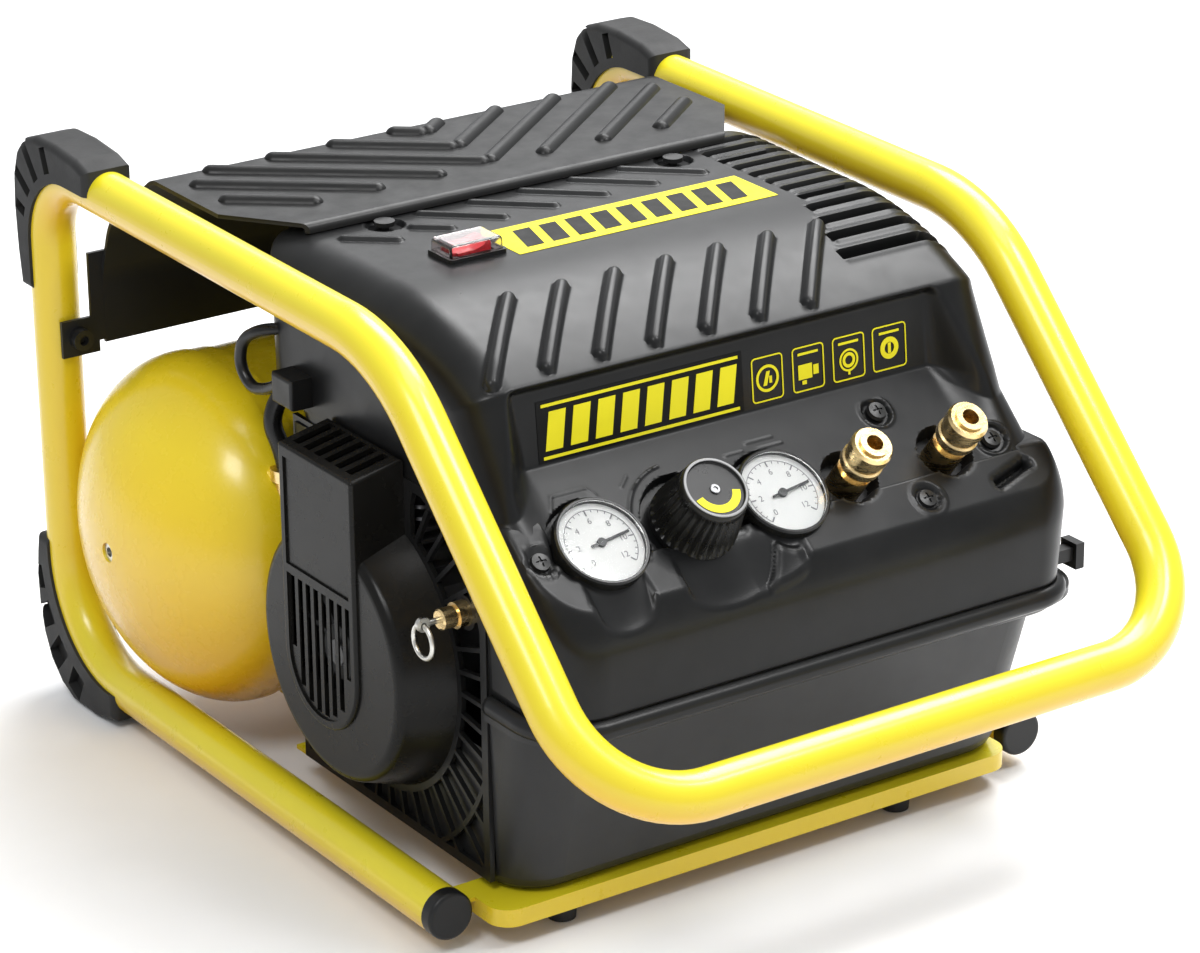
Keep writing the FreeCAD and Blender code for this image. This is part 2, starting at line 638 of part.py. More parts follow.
def upper_housing():
    shell = upper_envelope(0).cut(upper_envelope(HOUSING_WALL))
    shell = shell.cut(block(-300, 300, -600, 0, 0, SEAM_Z))
    rim = rounded_plan(BUMPER["left"] - 3, BUMPER["right"] + 3, BUMPER["front"] - 3,
                       HOUSING_REAR_Y - 30, SEAM_Z, SEAM_Z + 5, 36)
    rim = rim.cut(rounded_plan(BUMPER["left"] + 2, BUMPER["right"] - 2, BUMPER["front"] + 2,
                               HOUSING_REAR_Y + 30, 0, 400, 32))
    rim = rim.common(block(-300, 300, -600, HOUSING_REAR_Y - 60, 0, 400))
    shell = shell.fuse(rim)
    y, z = RESET_CENTRE
    collar = block(BUMPER["right"] - 6, BUMPER["right"] + 4, y - 6.5, y + 6.5, z - 6.5, z + 6.5)
    shell = shell.fuse(collar).cut(block(100, 300, y - 4.2, y + 4.2, z - 4.2, z + 4.2))
    for cutter in panel_cutters():
        shell = shell.cut(cutter)
    shell = shell.cut(grille_opening())
    for x, y in TOP_SCREWS:
        shell = shell.cut(rod(V(x, y, 300), Z, 40, 3.0))
    centre = SWITCH_CENTRE
    shell = shell.cut(block(centre.x - 14, centre.x + 14, centre.y - 10, centre.y + 10, 300, 330))
    start, end = LEAD_ROUTE[0], LEAD_ROUTE[1]
    shell = shell.cut(rod(start - (end - start) * 0.6, end - start, 30, LEAD_R + 0.3))
    last, before = HOSE_ROUTE[-1], HOSE_ROUTE[-2]
    shell = shell.cut(rod(before, last - before, 40, HOSE_R + 0.3))
    return shell.removeSplitter()


def tub_ring(z, left, right, front, rear, radius):
    """A rounded rectangle at one height."""
    corners = [V(left, front, z), V(right, front, z), V(right, rear, z), V(left, rear, z)]
    edges = []
    count = len(corners)
    for i, here in enumerate(corners):
        before, after = corners[i - 1], corners[(i + 1) % count]
        into, out = (here - before).normalize(), (after - here).normalize()
        start, end = here - into * radius, here + out * radius
        centre = here - into * radius + out * radius
        middle = centre + (here - centre).normalize() * radius
        edges.append(Part.Arc(start, middle, end).toShape())
        edges.append(Part.LineSegment(end, after - out * radius).toShape())
    return Part.Wire(edges)


def tapered_tub(inset, bottom, top):
    """The lower housing's outline: it narrows towards the floor and its edges are rounded."""
    levels = []
    for rise, step in ((0.0, 7.0), (1.5, 3.6), (4.5, 1.1), (9.0, 0.0), (None, 0.0)):
        z = top if rise is None else bottom + rise
        share = (z - bottom) / (top - bottom)
        left, right, front = -165 - 3 * share, 182 + 8 * share, -444 - 28 * share
        shrink = inset + step
        levels.append(tub_ring(z, left + shrink, right - shrink, front + shrink,
                               HOUSING_REAR_Y - shrink, 30 - shrink))
    return Part.makeLoft(levels, True, True)


def lower_housing():
    bottom = TRAY_TOP + 0.5
    outside = tapered_tub(0, bottom, SEAM_Z - 1)
    inside = tapered_tub(HOUSING_WALL, bottom + HOUSING_WALL, SEAM_Z + 10)
    shell = outside.cut(inside)
    rim = rounded_plan(BUMPER["left"] - 1, BUMPER["right"] + 1, BUMPER["front"] - 1,
                       HOUSING_REAR_Y - 60, SEAM_Z - 5, SEAM_Z - 0.5, 34)
    pod = rounded_plan(120, BUMPER["right"] - 1, BUMPER["front"] + 9, -330, POD_Z, SEAM_Z - 1, 30)
    under = [e for e in pod.Edges if abs(e.CenterOfMass.z - POD_Z) < 0.1]
    pod = pod.makeFillet(9.0, under)
    shell = shell.fuse(rim.cut(inside)).fuse(pod.cut(inside))
    for x, y in TRAY_BOLTS:
        shell = shell.fuse(rod(V(x, y, bottom), Z, 22, 7)).cut(rod(V(x, y, 0), Z, 22, 3.0))
    shell = shell.cut(grille_opening())
    shell = shell.cut(rod(V(150, HOUSING_REAR_Y - 10, 32), Y, 20, 4.2))
    return shell.removeSplitter()


def housing_screws():
    """Cross-recess screws: four on the control panel and two on the top."""
    screws = []
    for x, down in PANEL_SCREWS:
        screw = turned_on_panel([(-12, 0), (-12, 2.4), (0, 2.4), (0, 6), (2.2, 5.2), (3, 0)], x, down)
        screws.append(screw.cut(box_on_panel(x - 3.2, x + 3.2, down - 0.6, down + 0.6, 1.6, 4))
                      .cut(box_on_panel(x - 0.6, x + 0.6, down - 3.2, down + 3.2, 1.6, 4)))
    for x, y in TOP_SCREWS:
        head = rod(V(x, y, TOP_Z), Z, 2.5, 6)
        screw = head.fuse(rod(V(x, y, TOP_Z - 14), Z, 14, 2.8)).removeSplitter()
        screws.append(screw)
    return group(screws)


def side_grille():
    """Flat panel on the left side; thin radial bars surround the fan cover."""
    y0, y1, z0, z1 = GRILLE_BOX
    x0, x1 = GRILLE_X, GRILLE_X + 3
    border = 6.0
    plate = block(x0, x1, y0, y1, z0, z1)
    axis = V(x0 - 5, MOTOR_Y, MOTOR_Z)
    hub = rod(axis, X, 20, COVER_BASE_R + 4)
    window = block(x0 - 5, x1 + 5, y0 + border, y1 - border, z0 + border, z1 - border)
    behind_box = block(x0 - 6, x1 + 6, -350, -260, MOTOR_Z, 250)
    behind_valve = rod(V(x0 - 6, *RELIEF_CENTRE), X, 20, 10)
    opening = window.cut(hub).cut(behind_box).cut(behind_valve)
    bars = []
    for number in range(GRILLE_BARS):
        bar = block(x0, x1, -GRILLE_BAR_T / 2, GRILLE_BAR_T / 2, COVER_BASE_R, 170)
        bar.rotate(V(0, 0, 0), X, 360.0 * number / GRILLE_BARS + 4)
        bar.translate(V(0, MOTOR_Y, MOTOR_Z))
        bars.append(bar)
    hoop = ring(V(x0, MOTOR_Y, MOTOR_Z), X, 3, 118.5, 115.5)
    opening = opening.cut(bars + [hoop])
    plate = plate.cut(opening).cut(rod(axis, X, 20, 68))
    y, z = RELIEF_CENTRE
    return plate.cut(rod(V(x0 - 5, y, z), X, 20, 5.0 + 0.2)).removeSplitter()


COVER_Y = (-344.0, -266.0)       # sides of the box and of the arch on the fan cover
COVER_ARCH_Z = 105.0             # centre of the arch's round lower end
COVER_BOX_TOP = (226.0, 233.0)   # height at the outer face and at the grille
COVER_T = 2.5


def arch_on_cover(inset, x0, x1, z_top):
    """The arch's outline: straight sides over a half circle, as a slab from x0 to x1."""
    y0, y1 = COVER_Y[0] + inset, COVER_Y[1] - inset
    radius = (y1 - y0) / 2
    slab = block(x0, x1, y0, y1, COVER_ARCH_Z, z_top)
    return slab.fuse(rod(V(x0, (y0 + y1) / 2, COVER_ARCH_Z), X, x1 - x0, radius)).removeSplitter()


def sloped_box(inset, x0, z0, x1=GRILLE_X):
    """The box above the drum; its top slopes up towards the grille."""
    y0, y1 = COVER_Y[0] + inset, COVER_Y[1] - inset
    outer_z, inner_z = (z - inset for z in COVER_BOX_TOP)
    outline = [V(x0, y0, z0), V(x1, y0, z0), V(x1, y0, inner_z), V(x0, y0, outer_z)]
    return Part.Face(Part.makePolygon(outline + outline[:1])).extrude(Y * (y1 - y0))


def fan_cover():
    """Round shroud over the fan with a box on top that leads air to the cylinder head."""
    t = COVER_T
    face_x = FAN_COVER_FACE_X + 2.5
    drum = [(GRILLE_X, COVER_BASE_R), (face_x, COVER_FACE_R), (face_x, 0), (GRILLE_X, 0)]
    hollow = [(GRILLE_X, COVER_BASE_R - t), (face_x + 8, COVER_FACE_R - t), (face_x + t, COVER_FACE_R - 9),
              (face_x + t, 0), (GRILLE_X, 0)]
    outside = revolve_x(drum, MOTOR_Y, MOTOR_Z)
    shoulder = [e for e in outside.Edges if abs(e.CenterOfMass.x - face_x) < 0.1 and e.Length > 300]
    outside = outside.makeFillet(7.0, shoulder)
    inside = revolve_x(hollow, MOTOR_Y, MOTOR_Z)
    box = sloped_box(0, FAN_COVER_FACE_X, MOTOR_Z)
    tower = box.fuse(arch_on_cover(0, FAN_COVER_FACE_X, FAN_COVER_FACE_X + 8, 220)).removeSplitter()
    rounded = [e for e in tower.Edges
               if abs(e.CenterOfMass.x - FAN_COVER_FACE_X) < 0.1 or e.CenterOfMass.z > COVER_BOX_TOP[0]]
    tower = tower.makeFillet(2.2, rounded)
    cover = fuse_all([outside, tower]).cut(inside).cut(sloped_box(t, FAN_COVER_FACE_X + t, MOTOR_Z - 20))
    border, divider = 5.5, 152.0
    recess = arch_on_cover(border, FAN_COVER_FACE_X - 1, FAN_COVER_FACE_X + 1.3, 219)
    recess = recess.cut(block(-300, 0, -400, -200, divider - 2.5, divider + 2.5))
    cover = cover.cut(recess)
    middle = (COVER_Y[0] + COVER_Y[1]) / 2
    reach = (COVER_Y[1] - COVER_Y[0]) / 2 - border - 1.5
    count, slot = 8, 5.0
    pitch = (2 * reach - slot) / (count - 1)
    for number in range(count):
        y = middle - reach + pitch * number
        off = max(abs(y - middle), abs(y + slot - middle))
        low = COVER_ARCH_Z - math.sqrt(max(0.0, reach ** 2 - off ** 2))
        cover = cover.cut(block(FAN_COVER_FACE_X - 2, FAN_COVER_FACE_X + 12, y, y + slot, low, divider - 4))
    for number in range(6):
        y = COVER_Y[0] + 8 + 11.2 * number
        cover = cover.cut(block(FAN_COVER_FACE_X + 6, GRILLE_X - 4, y, y + 6.5, 222, 250))
    return cover.removeSplitter()


# ---- pressure gauges ----------------------------------------------------------------------
GAUGE_PROUD = 7.0
GAUGE_R = 27.5                  # outside of the case
DIAL_R = 25.1


def gauge_case(x):
    front = GAUGE_PROUD
    rim = DIAL_R + 0.2
    outline = [(-24, 0), (-24, GAUGE_R - 3), (-21, GAUGE_R), (front - 1, GAUGE_R), (front, GAUGE_R - 1),
               (front, rim), (front - 5, rim), (front - 5, 0)]
    body = turned_on_panel(outline, x)
    stem = turned_on_panel([(-38, 0), (-38, 6.5), (-24, 6.5), (-24, 0)], x)
    return body.fuse(stem).removeSplitter()


def gauge_dial(x):
    front = GAUGE_PROUD - 5
    return turned_on_panel([(front, 1.2), (front, DIAL_R), (front + 0.8, DIAL_R), (front + 0.8, 1.2)], x)


def gauge_needle(x):
    level = GAUGE_PROUD - 3.2
    hub = turned_on_panel([(level - 0.8, 0), (level - 0.8, 2.6), (level + 1.0, 2.6), (level + 1.0, 0)], x)
    pointer = box_on_panel(x - 7, x + 19, INSTRUMENT_ROW - 0.7, INSTRUMENT_ROW + 0.7,
                           level - 0.3, level + 0.5)
    needle = hub.fuse(pointer).removeSplitter()
    needle.rotate(on_panel(x), PANEL_OUT, 8)
    return needle


def gauge_lens(x):
    level = GAUGE_PROUD - 1.8
    rim = DIAL_R + 0.1
    return turned_on_panel([(level, 0), (level, rim), (level + 1.5, rim), (level + 1.5, 0)], x)


# ---- regulator, manifold, couplers --------------------------------------------------------
KNOB_HEIGHT = 34.0


def regulator_knob():
    outline = [(3, 5.05), (3, 24), (6, 25), (24, 21), (30, 19.5), (KNOB_HEIGHT, 18),
               (KNOB_HEIGHT, 0), (22, 0), (22, 5.05)]
    return turned_on_panel(outline, KNOB_X)


def regulator_body():
    outline = [(-46, 0), (-46, 14), (-30, 14), (-30, 17.5), (2.5, 17.5), (2.5, 5), (21, 5), (21, 0)]
    return turned_on_panel(outline, KNOB_X)


def manifold():
    """Air block behind the panel that joins the regulator, the gauges and the couplers."""
    bar = box_on_panel(-132, 136, INSTRUMENT_ROW - 11, INSTRUMENT_ROW + 11, -62, -38)
    bar = bar.cut(turned_on_panel([(-46, 0), (-46, 14), (-30, 14), (-30, 0)], KNOB_X))
    for x in COUPLERS_X:
        bar = bar.cut(turned_on_panel([(-50, 0), (-50, 6.5), (-30, 6.5), (-30, 0)], x))
    return bar


COUPLER_PLUG_R = 5.0
COUPLER_R = 8.6
COUPLER_BODY = [(-50, COUPLER_PLUG_R - 2), (-50, 6.5), (-20, 6.5), (-20, 10.5), (8, 10.5), (8, COUPLER_R),
                (36, COUPLER_R), (36, COUPLER_PLUG_R), (12, COUPLER_PLUG_R), (12, COUPLER_PLUG_R - 2)]
COUPLER_SLEEVE = [(13, COUPLER_R + RUN_CLEARANCE), (13, 11.2), (15, 12.2), (19, 12.2), (20, 11.2),
                  (25, 11.2), (26, 12.2), (32, 12.2), (34, 11.0), (34, COUPLER_R + RUN_CLEARANCE)]


# ---- safety relief valve ------------------------------------------------------------------
RELIEF_CENTRE = (-404.0, 163.0)
RELIEF_EYE_X = -196.0
RING_R = 9.5
RING_WIRE = 1.4


def relief_valve_body():
    y, z = RELIEF_CENTRE
    outline = [(-152, 0), (-152, 5), (GRILLE_X, 5), (GRILLE_X, 7.5), (-176, 7.5), (-176, 6),
               (-185, 6), (-186, 5), (-186, 1.8 + RUN_CLEARANCE), (-172, 1.8 + RUN_CLEARANCE), (-172, 0)]
    return revolve_x(outline, y, z)


def relief_valve_stem():
    y, z = RELIEF_CENTRE
    stem = rod(V(-193, y, z), X, 20, 1.8)
    eye = rod(V(RELIEF_EYE_X, y - 1.3, z), Y, 2.6, 4.2)
    return stem.fuse(eye).removeSplitter().cut(rod(V(RELIEF_EYE_X, y - 5, z - 0.6), Y, 10, 1.9))


def relief_valve_ring():
    y, z = RELIEF_CENTRE
    hoop = Part.makeTorus(RING_R, RING_WIRE, V(RELIEF_EYE_X, y, z - 0.6 - RING_R), X)
    return hoop


# ---- power switch -------------------------------------------------------------------------
ROCKER_AXIS_Z = TOP_Z + 1.0
ROCKER_TILT = 8.0


def switch_bezel():
    c = SWITCH_CENTRE
    flange = rounded_plan(c.x - 19, c.x + 19, c.y - 13, c.y + 13, TOP_Z, TOP_Z + 2.5, 3)
    well = block(c.x - 13.8, c.x + 13.8, c.y - 9.8, c.y + 9.8, TOP_Z - 22, TOP_Z + 1)
    room = block(c.x - 12.4, c.x + 12.4, c.y - 8.2, c.y + 8.2, TOP_Z - 14, TOP_Z + 5)
    return flange.fuse(well).removeSplitter().cut(room)


def switch_rocker():
    """A shallow V-topped rocker; at rest it is tipped to the off side."""
    c = SWITCH_CENTRE
    outline = [V(c.x - 11, c.y - 7.9, ROCKER_AXIS_Z + 4.5), V(c.x, c.y - 7.9, ROCKER_AXIS_Z + 3.2),
               V(c.x + 11, c.y - 7.9, ROCKER_AXIS_Z + 4.5), V(c.x + 10, c.y - 7.9, ROCKER_AXIS_Z - 4),
               V(c.x, c.y - 7.9, ROCKER_AXIS_Z - 8), V(c.x - 10, c.y - 7.9, ROCKER_AXIS_Z - 4)]
    body = Part.Face(Part.makePolygon(outline + outline[:1])).extrude(Y * 15.8)
    body.rotate(V(c.x, c.y, ROCKER_AXIS_Z), Y, -ROCKER_TILT)
    return body


def switch_cover():
    """Clear splash cover over the rocker."""
    c = SWITCH_CENTRE
    outside = block(c.x - 17.5, c.x + 17.5, c.y - 11.5, c.y + 11.5, TOP_Z + 2.5, TOP_Z + 10)
    top = [e for e in outside.Edges if e.CenterOfMass.z > TOP_Z + 3]
    outside = outside.makeFillet(3.0, top)
    inside = block(c.x - 16, c.x + 16, c.y - 10, c.y + 10, TOP_Z + 2, TOP_Z + 8.6)
    return outside.cut(inside)


def pressure_switch():
    """Pressure switch under the top, with its air leg down to the manifold's level."""
    box = rounded_plan(-40, 22, -306, -254, 246, 300, 4)
    leg = rod(V(-9, -280, 226), Z, 20, 9)
    return box.fuse(leg).removeSplitter()


def reset_button():
    """Push rod through the collar, with a wide head outside."""
    y, z = RESET_CENTRE
    x = BUMPER["right"] + 4
    shank = block(x - 14, x + 6, y - 4.0, y + 4.0, z - 4.0, z + 4.0)
    head = block(x + 4, x + 11, y - 7.0, y + 7.0, z - 9.0, z + 7.0)
    rim = [e for e in head.Edges if e.CenterOfMass.x > x + 10.9]
    return shank.fuse(head.makeFillet(1.5, rim)).removeSplitter()


# ---- motor and pump -----------------------------------------------------------------------
HOUSING_FLOOR_Z = TRAY_TOP + 0.5 + HOUSING_WALL
STATOR = (-82.0, 18.0)
CRANKCASE = (-160.0, -108.0)


def along_motor(x, length, outer, inner=0.0):
    start = V(x, MOTOR_Y, MOTOR_Z)
    return ring(start, X, length, outer, inner) if inner else rod(start, X, length, outer)


def motor_stator():
    x0, x1 = STATOR
    core = along_motor(x0, x1 - x0, 58, 31.2)
    windings = [along_motor(x0 - 11, 11, 52, 36), along_motor(x1, 11, 52, 36)]
    return fuse_all([core] + windings)


def motor_end_bells():
    bells = []
    for x, inward in ((-108, 1), (46, -1)):
        plate_x = x if inward > 0 else x - 4
        disc = along_motor(plate_x, 4, 58)
        skirt_x = x if inward > 0 else x - 28
        skirt = along_motor(skirt_x, 26 if inward > 0 else 28, 60.5, 58.0)
        hub = along_motor(x if inward > 0 else x - 15, 15, 21)
        foot = block(skirt_x + 6, skirt_x + 20, MOTOR_Y - 36, MOTOR_Y + 36, HOUSING_FLOOR_Z, MOTOR_Z - 50)
        foot = foot.cut(along_motor(skirt_x - 5, 50, 60))
        bell = fuse_all([disc, skirt, hub, foot])
        seat_x = x + 4 if inward > 0 else x - 15
        bell = bell.cut(along_motor(seat_x, 11, 17.5)).cut(along_motor(x - 30, 60, 9.5))
        bells.append(bell)
    return group(bells)


def shaft_bearings():
    return group([along_motor(-104, 11, 17.5, SHAFT_R + RUN_CLEARANCE),
                  along_motor(31, 11, 17.5, SHAFT_R + RUN_CLEARANCE)])


def motor_shaft():
    return along_motor(-196, 256, SHAFT_R)


def motor_rotor():
    x0, x1 = STATOR
    return along_motor(x0, x1 - x0, 30.6, SHAFT_R)


def cooling_fan():
    hub = along_motor(-194, 22, 16, SHAFT_R)
    disc = along_motor(-176, 2.5, 64, SHAFT_R)
    blades = []
    for i in range(9):
        blade = block(-193, -175, -1.0, 1.0, 14, 62)
        blade.rotate(V(-182, 0, 14), Z, 18)
        blade.rotate(V(0, 0, 0), X, 40.0 * i)
        blade.translate(V(0, MOTOR_Y, MOTOR_Z))
        blades.append(blade)
    wheel = fuse_all([hub, disc] + blades).common(along_motor(-194, 22, 64))
    return wheel.cut(along_motor(-210, 60, SHAFT_R))


def crankcase():
    x0, x1 = CRANKCASE
    wall = 4.0
    case = along_motor(x0, x1 - x0, 52)
    neck = block(CRANK_X - 26, CRANK_X + 26, MOTOR_Y - 34, MOTOR_Y + 34, MOTOR_Z + 20, MOTOR_Z + 52)
    foot = block(x0 + 6, x1 - 6, MOTOR_Y - 40, MOTOR_Y + 40, HOUSING_FLOOR_Z, MOTOR_Z - 30)
    case = fuse_all([case, neck, foot])
    case = case.cut(along_motor(x0 + wall, x1 - x0 - 2 * wall, 47))
    case = case.cut(along_motor(x0 - 5, 80, 9.5))
    return case.cut(rod(V(CRANK_X, MOTOR_Y, MOTOR_Z), Z, 60, BORE_R))


def crank_eccentric():
    pin = rod(V(CRANK_X - 7, MOTOR_Y + CRANK_THROW, MOTOR_Z), X, 14, 12.5)
    weight = along_motor(CRANK_X + 9, 8, 32).cut(block(-200, 0, MOTOR_Y - 4, MOTOR_Y + 60, 0, 300))
    web = along_motor(CRANK_X + 7, 10, 13)
    return fuse_all([pin, weight, web]).cut(along_motor(CRANK_X - 20, 50, SHAFT_R))


def obround_x(x, length, half_width, half_height):
    """A slot shape along X: straight sides, round top and bottom."""
    y, z = MOTOR_Y, MOTOR_Z
    straight = half_height - half_width
    sides = block(x, x + length, y - half_width, y + half_width, z - straight, z + straight)
    ends = [rod(V(x, y, z + s * straight), X, length, half_width) for s in (-1, 1)]
    return sides.fuse(ends).removeSplitter()


def piston_rod():
    """One-piece rod and piston of an oil-free pump; its eye clears the crank pin's whole circle."""
    eye = obround_x(CRANK_X - 6, 12, 27, 36.5).cut(obround_x(CRANK_X - 10, 20, 22.5, 31.5))
    arm = block(CRANK_X - 6, CRANK_X + 6, MOTOR_Y - 8, MOTOR_Y + 8, MOTOR_Z + 34, CYLINDER_TOP - 26)
    crown = rod(V(CRANK_X, MOTOR_Y, CYLINDER_TOP - 28), Z, 8, BORE_R - RUN_CLEARANCE)
    return fuse_all([eye, arm, crown])


def cylinder():
    base = MOTOR_Z + 52
    barrel = rod(V(CRANK_X, MOTOR_Y, base), Z, CYLINDER_TOP - base, 27.5)
    fins = []
    for number in range(5):
        z = base + 10 + 7 * number
        fins.append(rounded_plan(CRANK_X - 29, CRANK_X + 29, MOTOR_Y - 36, MOTOR_Y + 36, z, z + 2, 6))
    bored = fuse_all([barrel] + fins).cut(rod(V(CRANK_X, MOTOR_Y, base - 4), Z, 60, BORE_R))
    return bored.cut(along_motor(CRANKCASE[1] - 0.3, 20, 61))


def valve_plate():
    plate = rounded_plan(CRANK_X - 30, CRANK_X + 30, MOTOR_Y - 36, MOTOR_Y + 36,
                         CYLINDER_TOP, CYLINDER_TOP + 4, 6)
    for y in (-12, 12):
        plate = plate.cut(rod(V(CRANK_X, MOTOR_Y + y, CYLINDER_TOP - 1), Z, 6, 3.5))
    return plate


def cylinder_head():
    z0 = CYLINDER_TOP + 4
    head = rounded_plan(CRANK_X - 30, CRANK_X + 30, MOTOR_Y - 36, MOTOR_Y + 36, z0, z0 + 14, 6)
    fins = [block(CRANK_X - 28, CRANK_X + 28, y, y + 2, z0 + 13, z0 + 24)
            for y in (MOTOR_Y - 33, MOTOR_Y - 22, MOTOR_Y - 11, MOTOR_Y, MOTOR_Y + 11)]
    chambers = [block(CRANK_X - 20, CRANK_X + 20, MOTOR_Y + a, MOTOR_Y + b, z0 - 1, z0 + 9)
                for a, b in ((-28, -3), (3, 28))]
    head = fuse_all([head] + fins)
    for chamber in chambers:
        head = head.cut(chamber)
    return head


def air_filter():
    """Intake filter can on the cylinder head."""
    z0 = CYLINDER_TOP + 18
    neck = rod(V(CRANK_X, MOTOR_Y + 25, z0), Z, 12, 6)
    elbow = block(CRANK_X - 6, CRANK_X + 6, MOTOR_Y + 24, MOTOR_Y + 40, z0 + 6, z0 + 14)
    can = rod(V(CRANK_X, MOTOR_Y + 40, z0 + 10), Z, 22, 19)
    return fuse_all([neck, elbow, can])


# ---- all nodes ----------------------------------------------------------------------------
def main():
    save("cage_tube", cage_tube())
    save("tube_end_caps", tube_end_caps())
    save("top_corner_protectors", top_protectors())
    save("bottom_corner_protectors", bottom_protectors())
    save("base_tray", base_tray())
    save("tray_feet", tray_feet())
    save("tray_bolts", tray_bolts())
    save("storage_deck", storage_deck())
    save("deck_screws", deck_screws())
    save("tank_shell", tank_shell())
    save("tank_ends", tank_ends())
    save("tank_plugs", tank_plugs())
    save("tank_brackets", tank_brackets())
    save("drain_cock_body", drain_cock_body())
    save("drain_cock_tap", drain_cock_tap())
    save("check_valve", check_valve())
    save("delivery_hose", delivery_hose())
    save("motor_lead", motor_lead())
    save("cable_glands", cable_glands())
    save("upper_housing", upper_housing())
    save("lower_housing", lower_housing())
    save("housing_screws", housing_screws())
    save("side_grille", side_grille())
    save("fan_cover", fan_cover())
    for name, x in zip(("tank_gauge", "outlet_gauge"), GAUGES_X):
        save(name + "_case", gauge_case(x))
        save(name + "_dial", gauge_dial(x))
        save(name + "_needle", gauge_needle(x))
        save(name + "_lens", gauge_lens(x))
    save("regulator_body", regulator_body())
    save("regulator_knob", regulator_knob())
    save("manifold", manifold())
    for name, x in zip(("coupler_left", "coupler_right"), COUPLERS_X):
        save(name + "_body", turned_on_panel(COUPLER_BODY, x))
        save(name + "_sleeve", turned_on_panel(COUPLER_SLEEVE, x))
    save("relief_valve_body", relief_valve_body())
    save("relief_valve_stem", relief_valve_stem())
    save("relief_valve_ring", relief_valve_ring())
    save("switch_bezel", switch_bezel())
    save("switch_rocker", switch_rocker())
    save("switch_cover", switch_cover())
    save("pressure_switch", pressure_switch())
    save("reset_button", reset_button())
    save("motor_stator", motor_stator())
    save("motor_end_bells", motor_end_bells())
    save("shaft_bearings", shaft_bearings())
    save("motor_shaft", motor_shaft())
    save("motor_rotor", motor_rotor())
    save("cooling_fan", cooling_fan())
    save("crankcase", crankcase())
    save("crank_eccentric", crank_eccentric())
    save("piston_rod", piston_rod())
    save("cylinder", cylinder())
    save("valve_plate", valve_plate())
    save("cylinder_head", cylinder_head())
    save("air_filter", air_filter())


main()
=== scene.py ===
import math

import bmesh
import bpy
import numpy as np
from mathutils import Matrix, Vector
from mathutils.geometry import tessellate_polygon


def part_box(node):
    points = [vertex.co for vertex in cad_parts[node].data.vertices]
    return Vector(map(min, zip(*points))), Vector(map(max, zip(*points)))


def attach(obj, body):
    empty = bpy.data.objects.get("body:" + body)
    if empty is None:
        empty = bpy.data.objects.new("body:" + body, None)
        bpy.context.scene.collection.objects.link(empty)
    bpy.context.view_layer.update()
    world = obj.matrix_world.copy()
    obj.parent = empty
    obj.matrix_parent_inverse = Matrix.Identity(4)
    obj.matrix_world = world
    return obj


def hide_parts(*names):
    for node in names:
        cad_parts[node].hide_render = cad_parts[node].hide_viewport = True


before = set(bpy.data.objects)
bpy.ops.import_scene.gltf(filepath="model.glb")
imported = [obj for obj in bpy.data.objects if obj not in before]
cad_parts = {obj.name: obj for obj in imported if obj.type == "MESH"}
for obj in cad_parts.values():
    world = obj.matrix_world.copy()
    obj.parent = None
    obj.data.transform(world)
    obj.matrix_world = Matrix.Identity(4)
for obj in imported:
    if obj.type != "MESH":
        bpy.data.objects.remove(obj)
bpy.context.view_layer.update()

# The code below works in millimetres in the cage's own frame: x = 0 on the centre plane, y = 0 on the
# rear uprights' centreline, z = 0 on the bottom tubes' centreline. SHIFT moves that to the row frame.
TUBE_R = 14.0
CAGE_LOW, CAGE_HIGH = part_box("cage_tube")
SHIFT = np.array([0.0, CAGE_HIGH[1] * 1000 - TUBE_R, -(-TUBE_R - CAGE_LOW[2] * 1000)])


def metres(points):
    return (np.asarray(points, dtype=float) + SHIFT) / 1000.0


def ease(t):
    t = np.clip(t, 0.0, 1.0)
    return t * t * (3.0 - 2.0 * t)


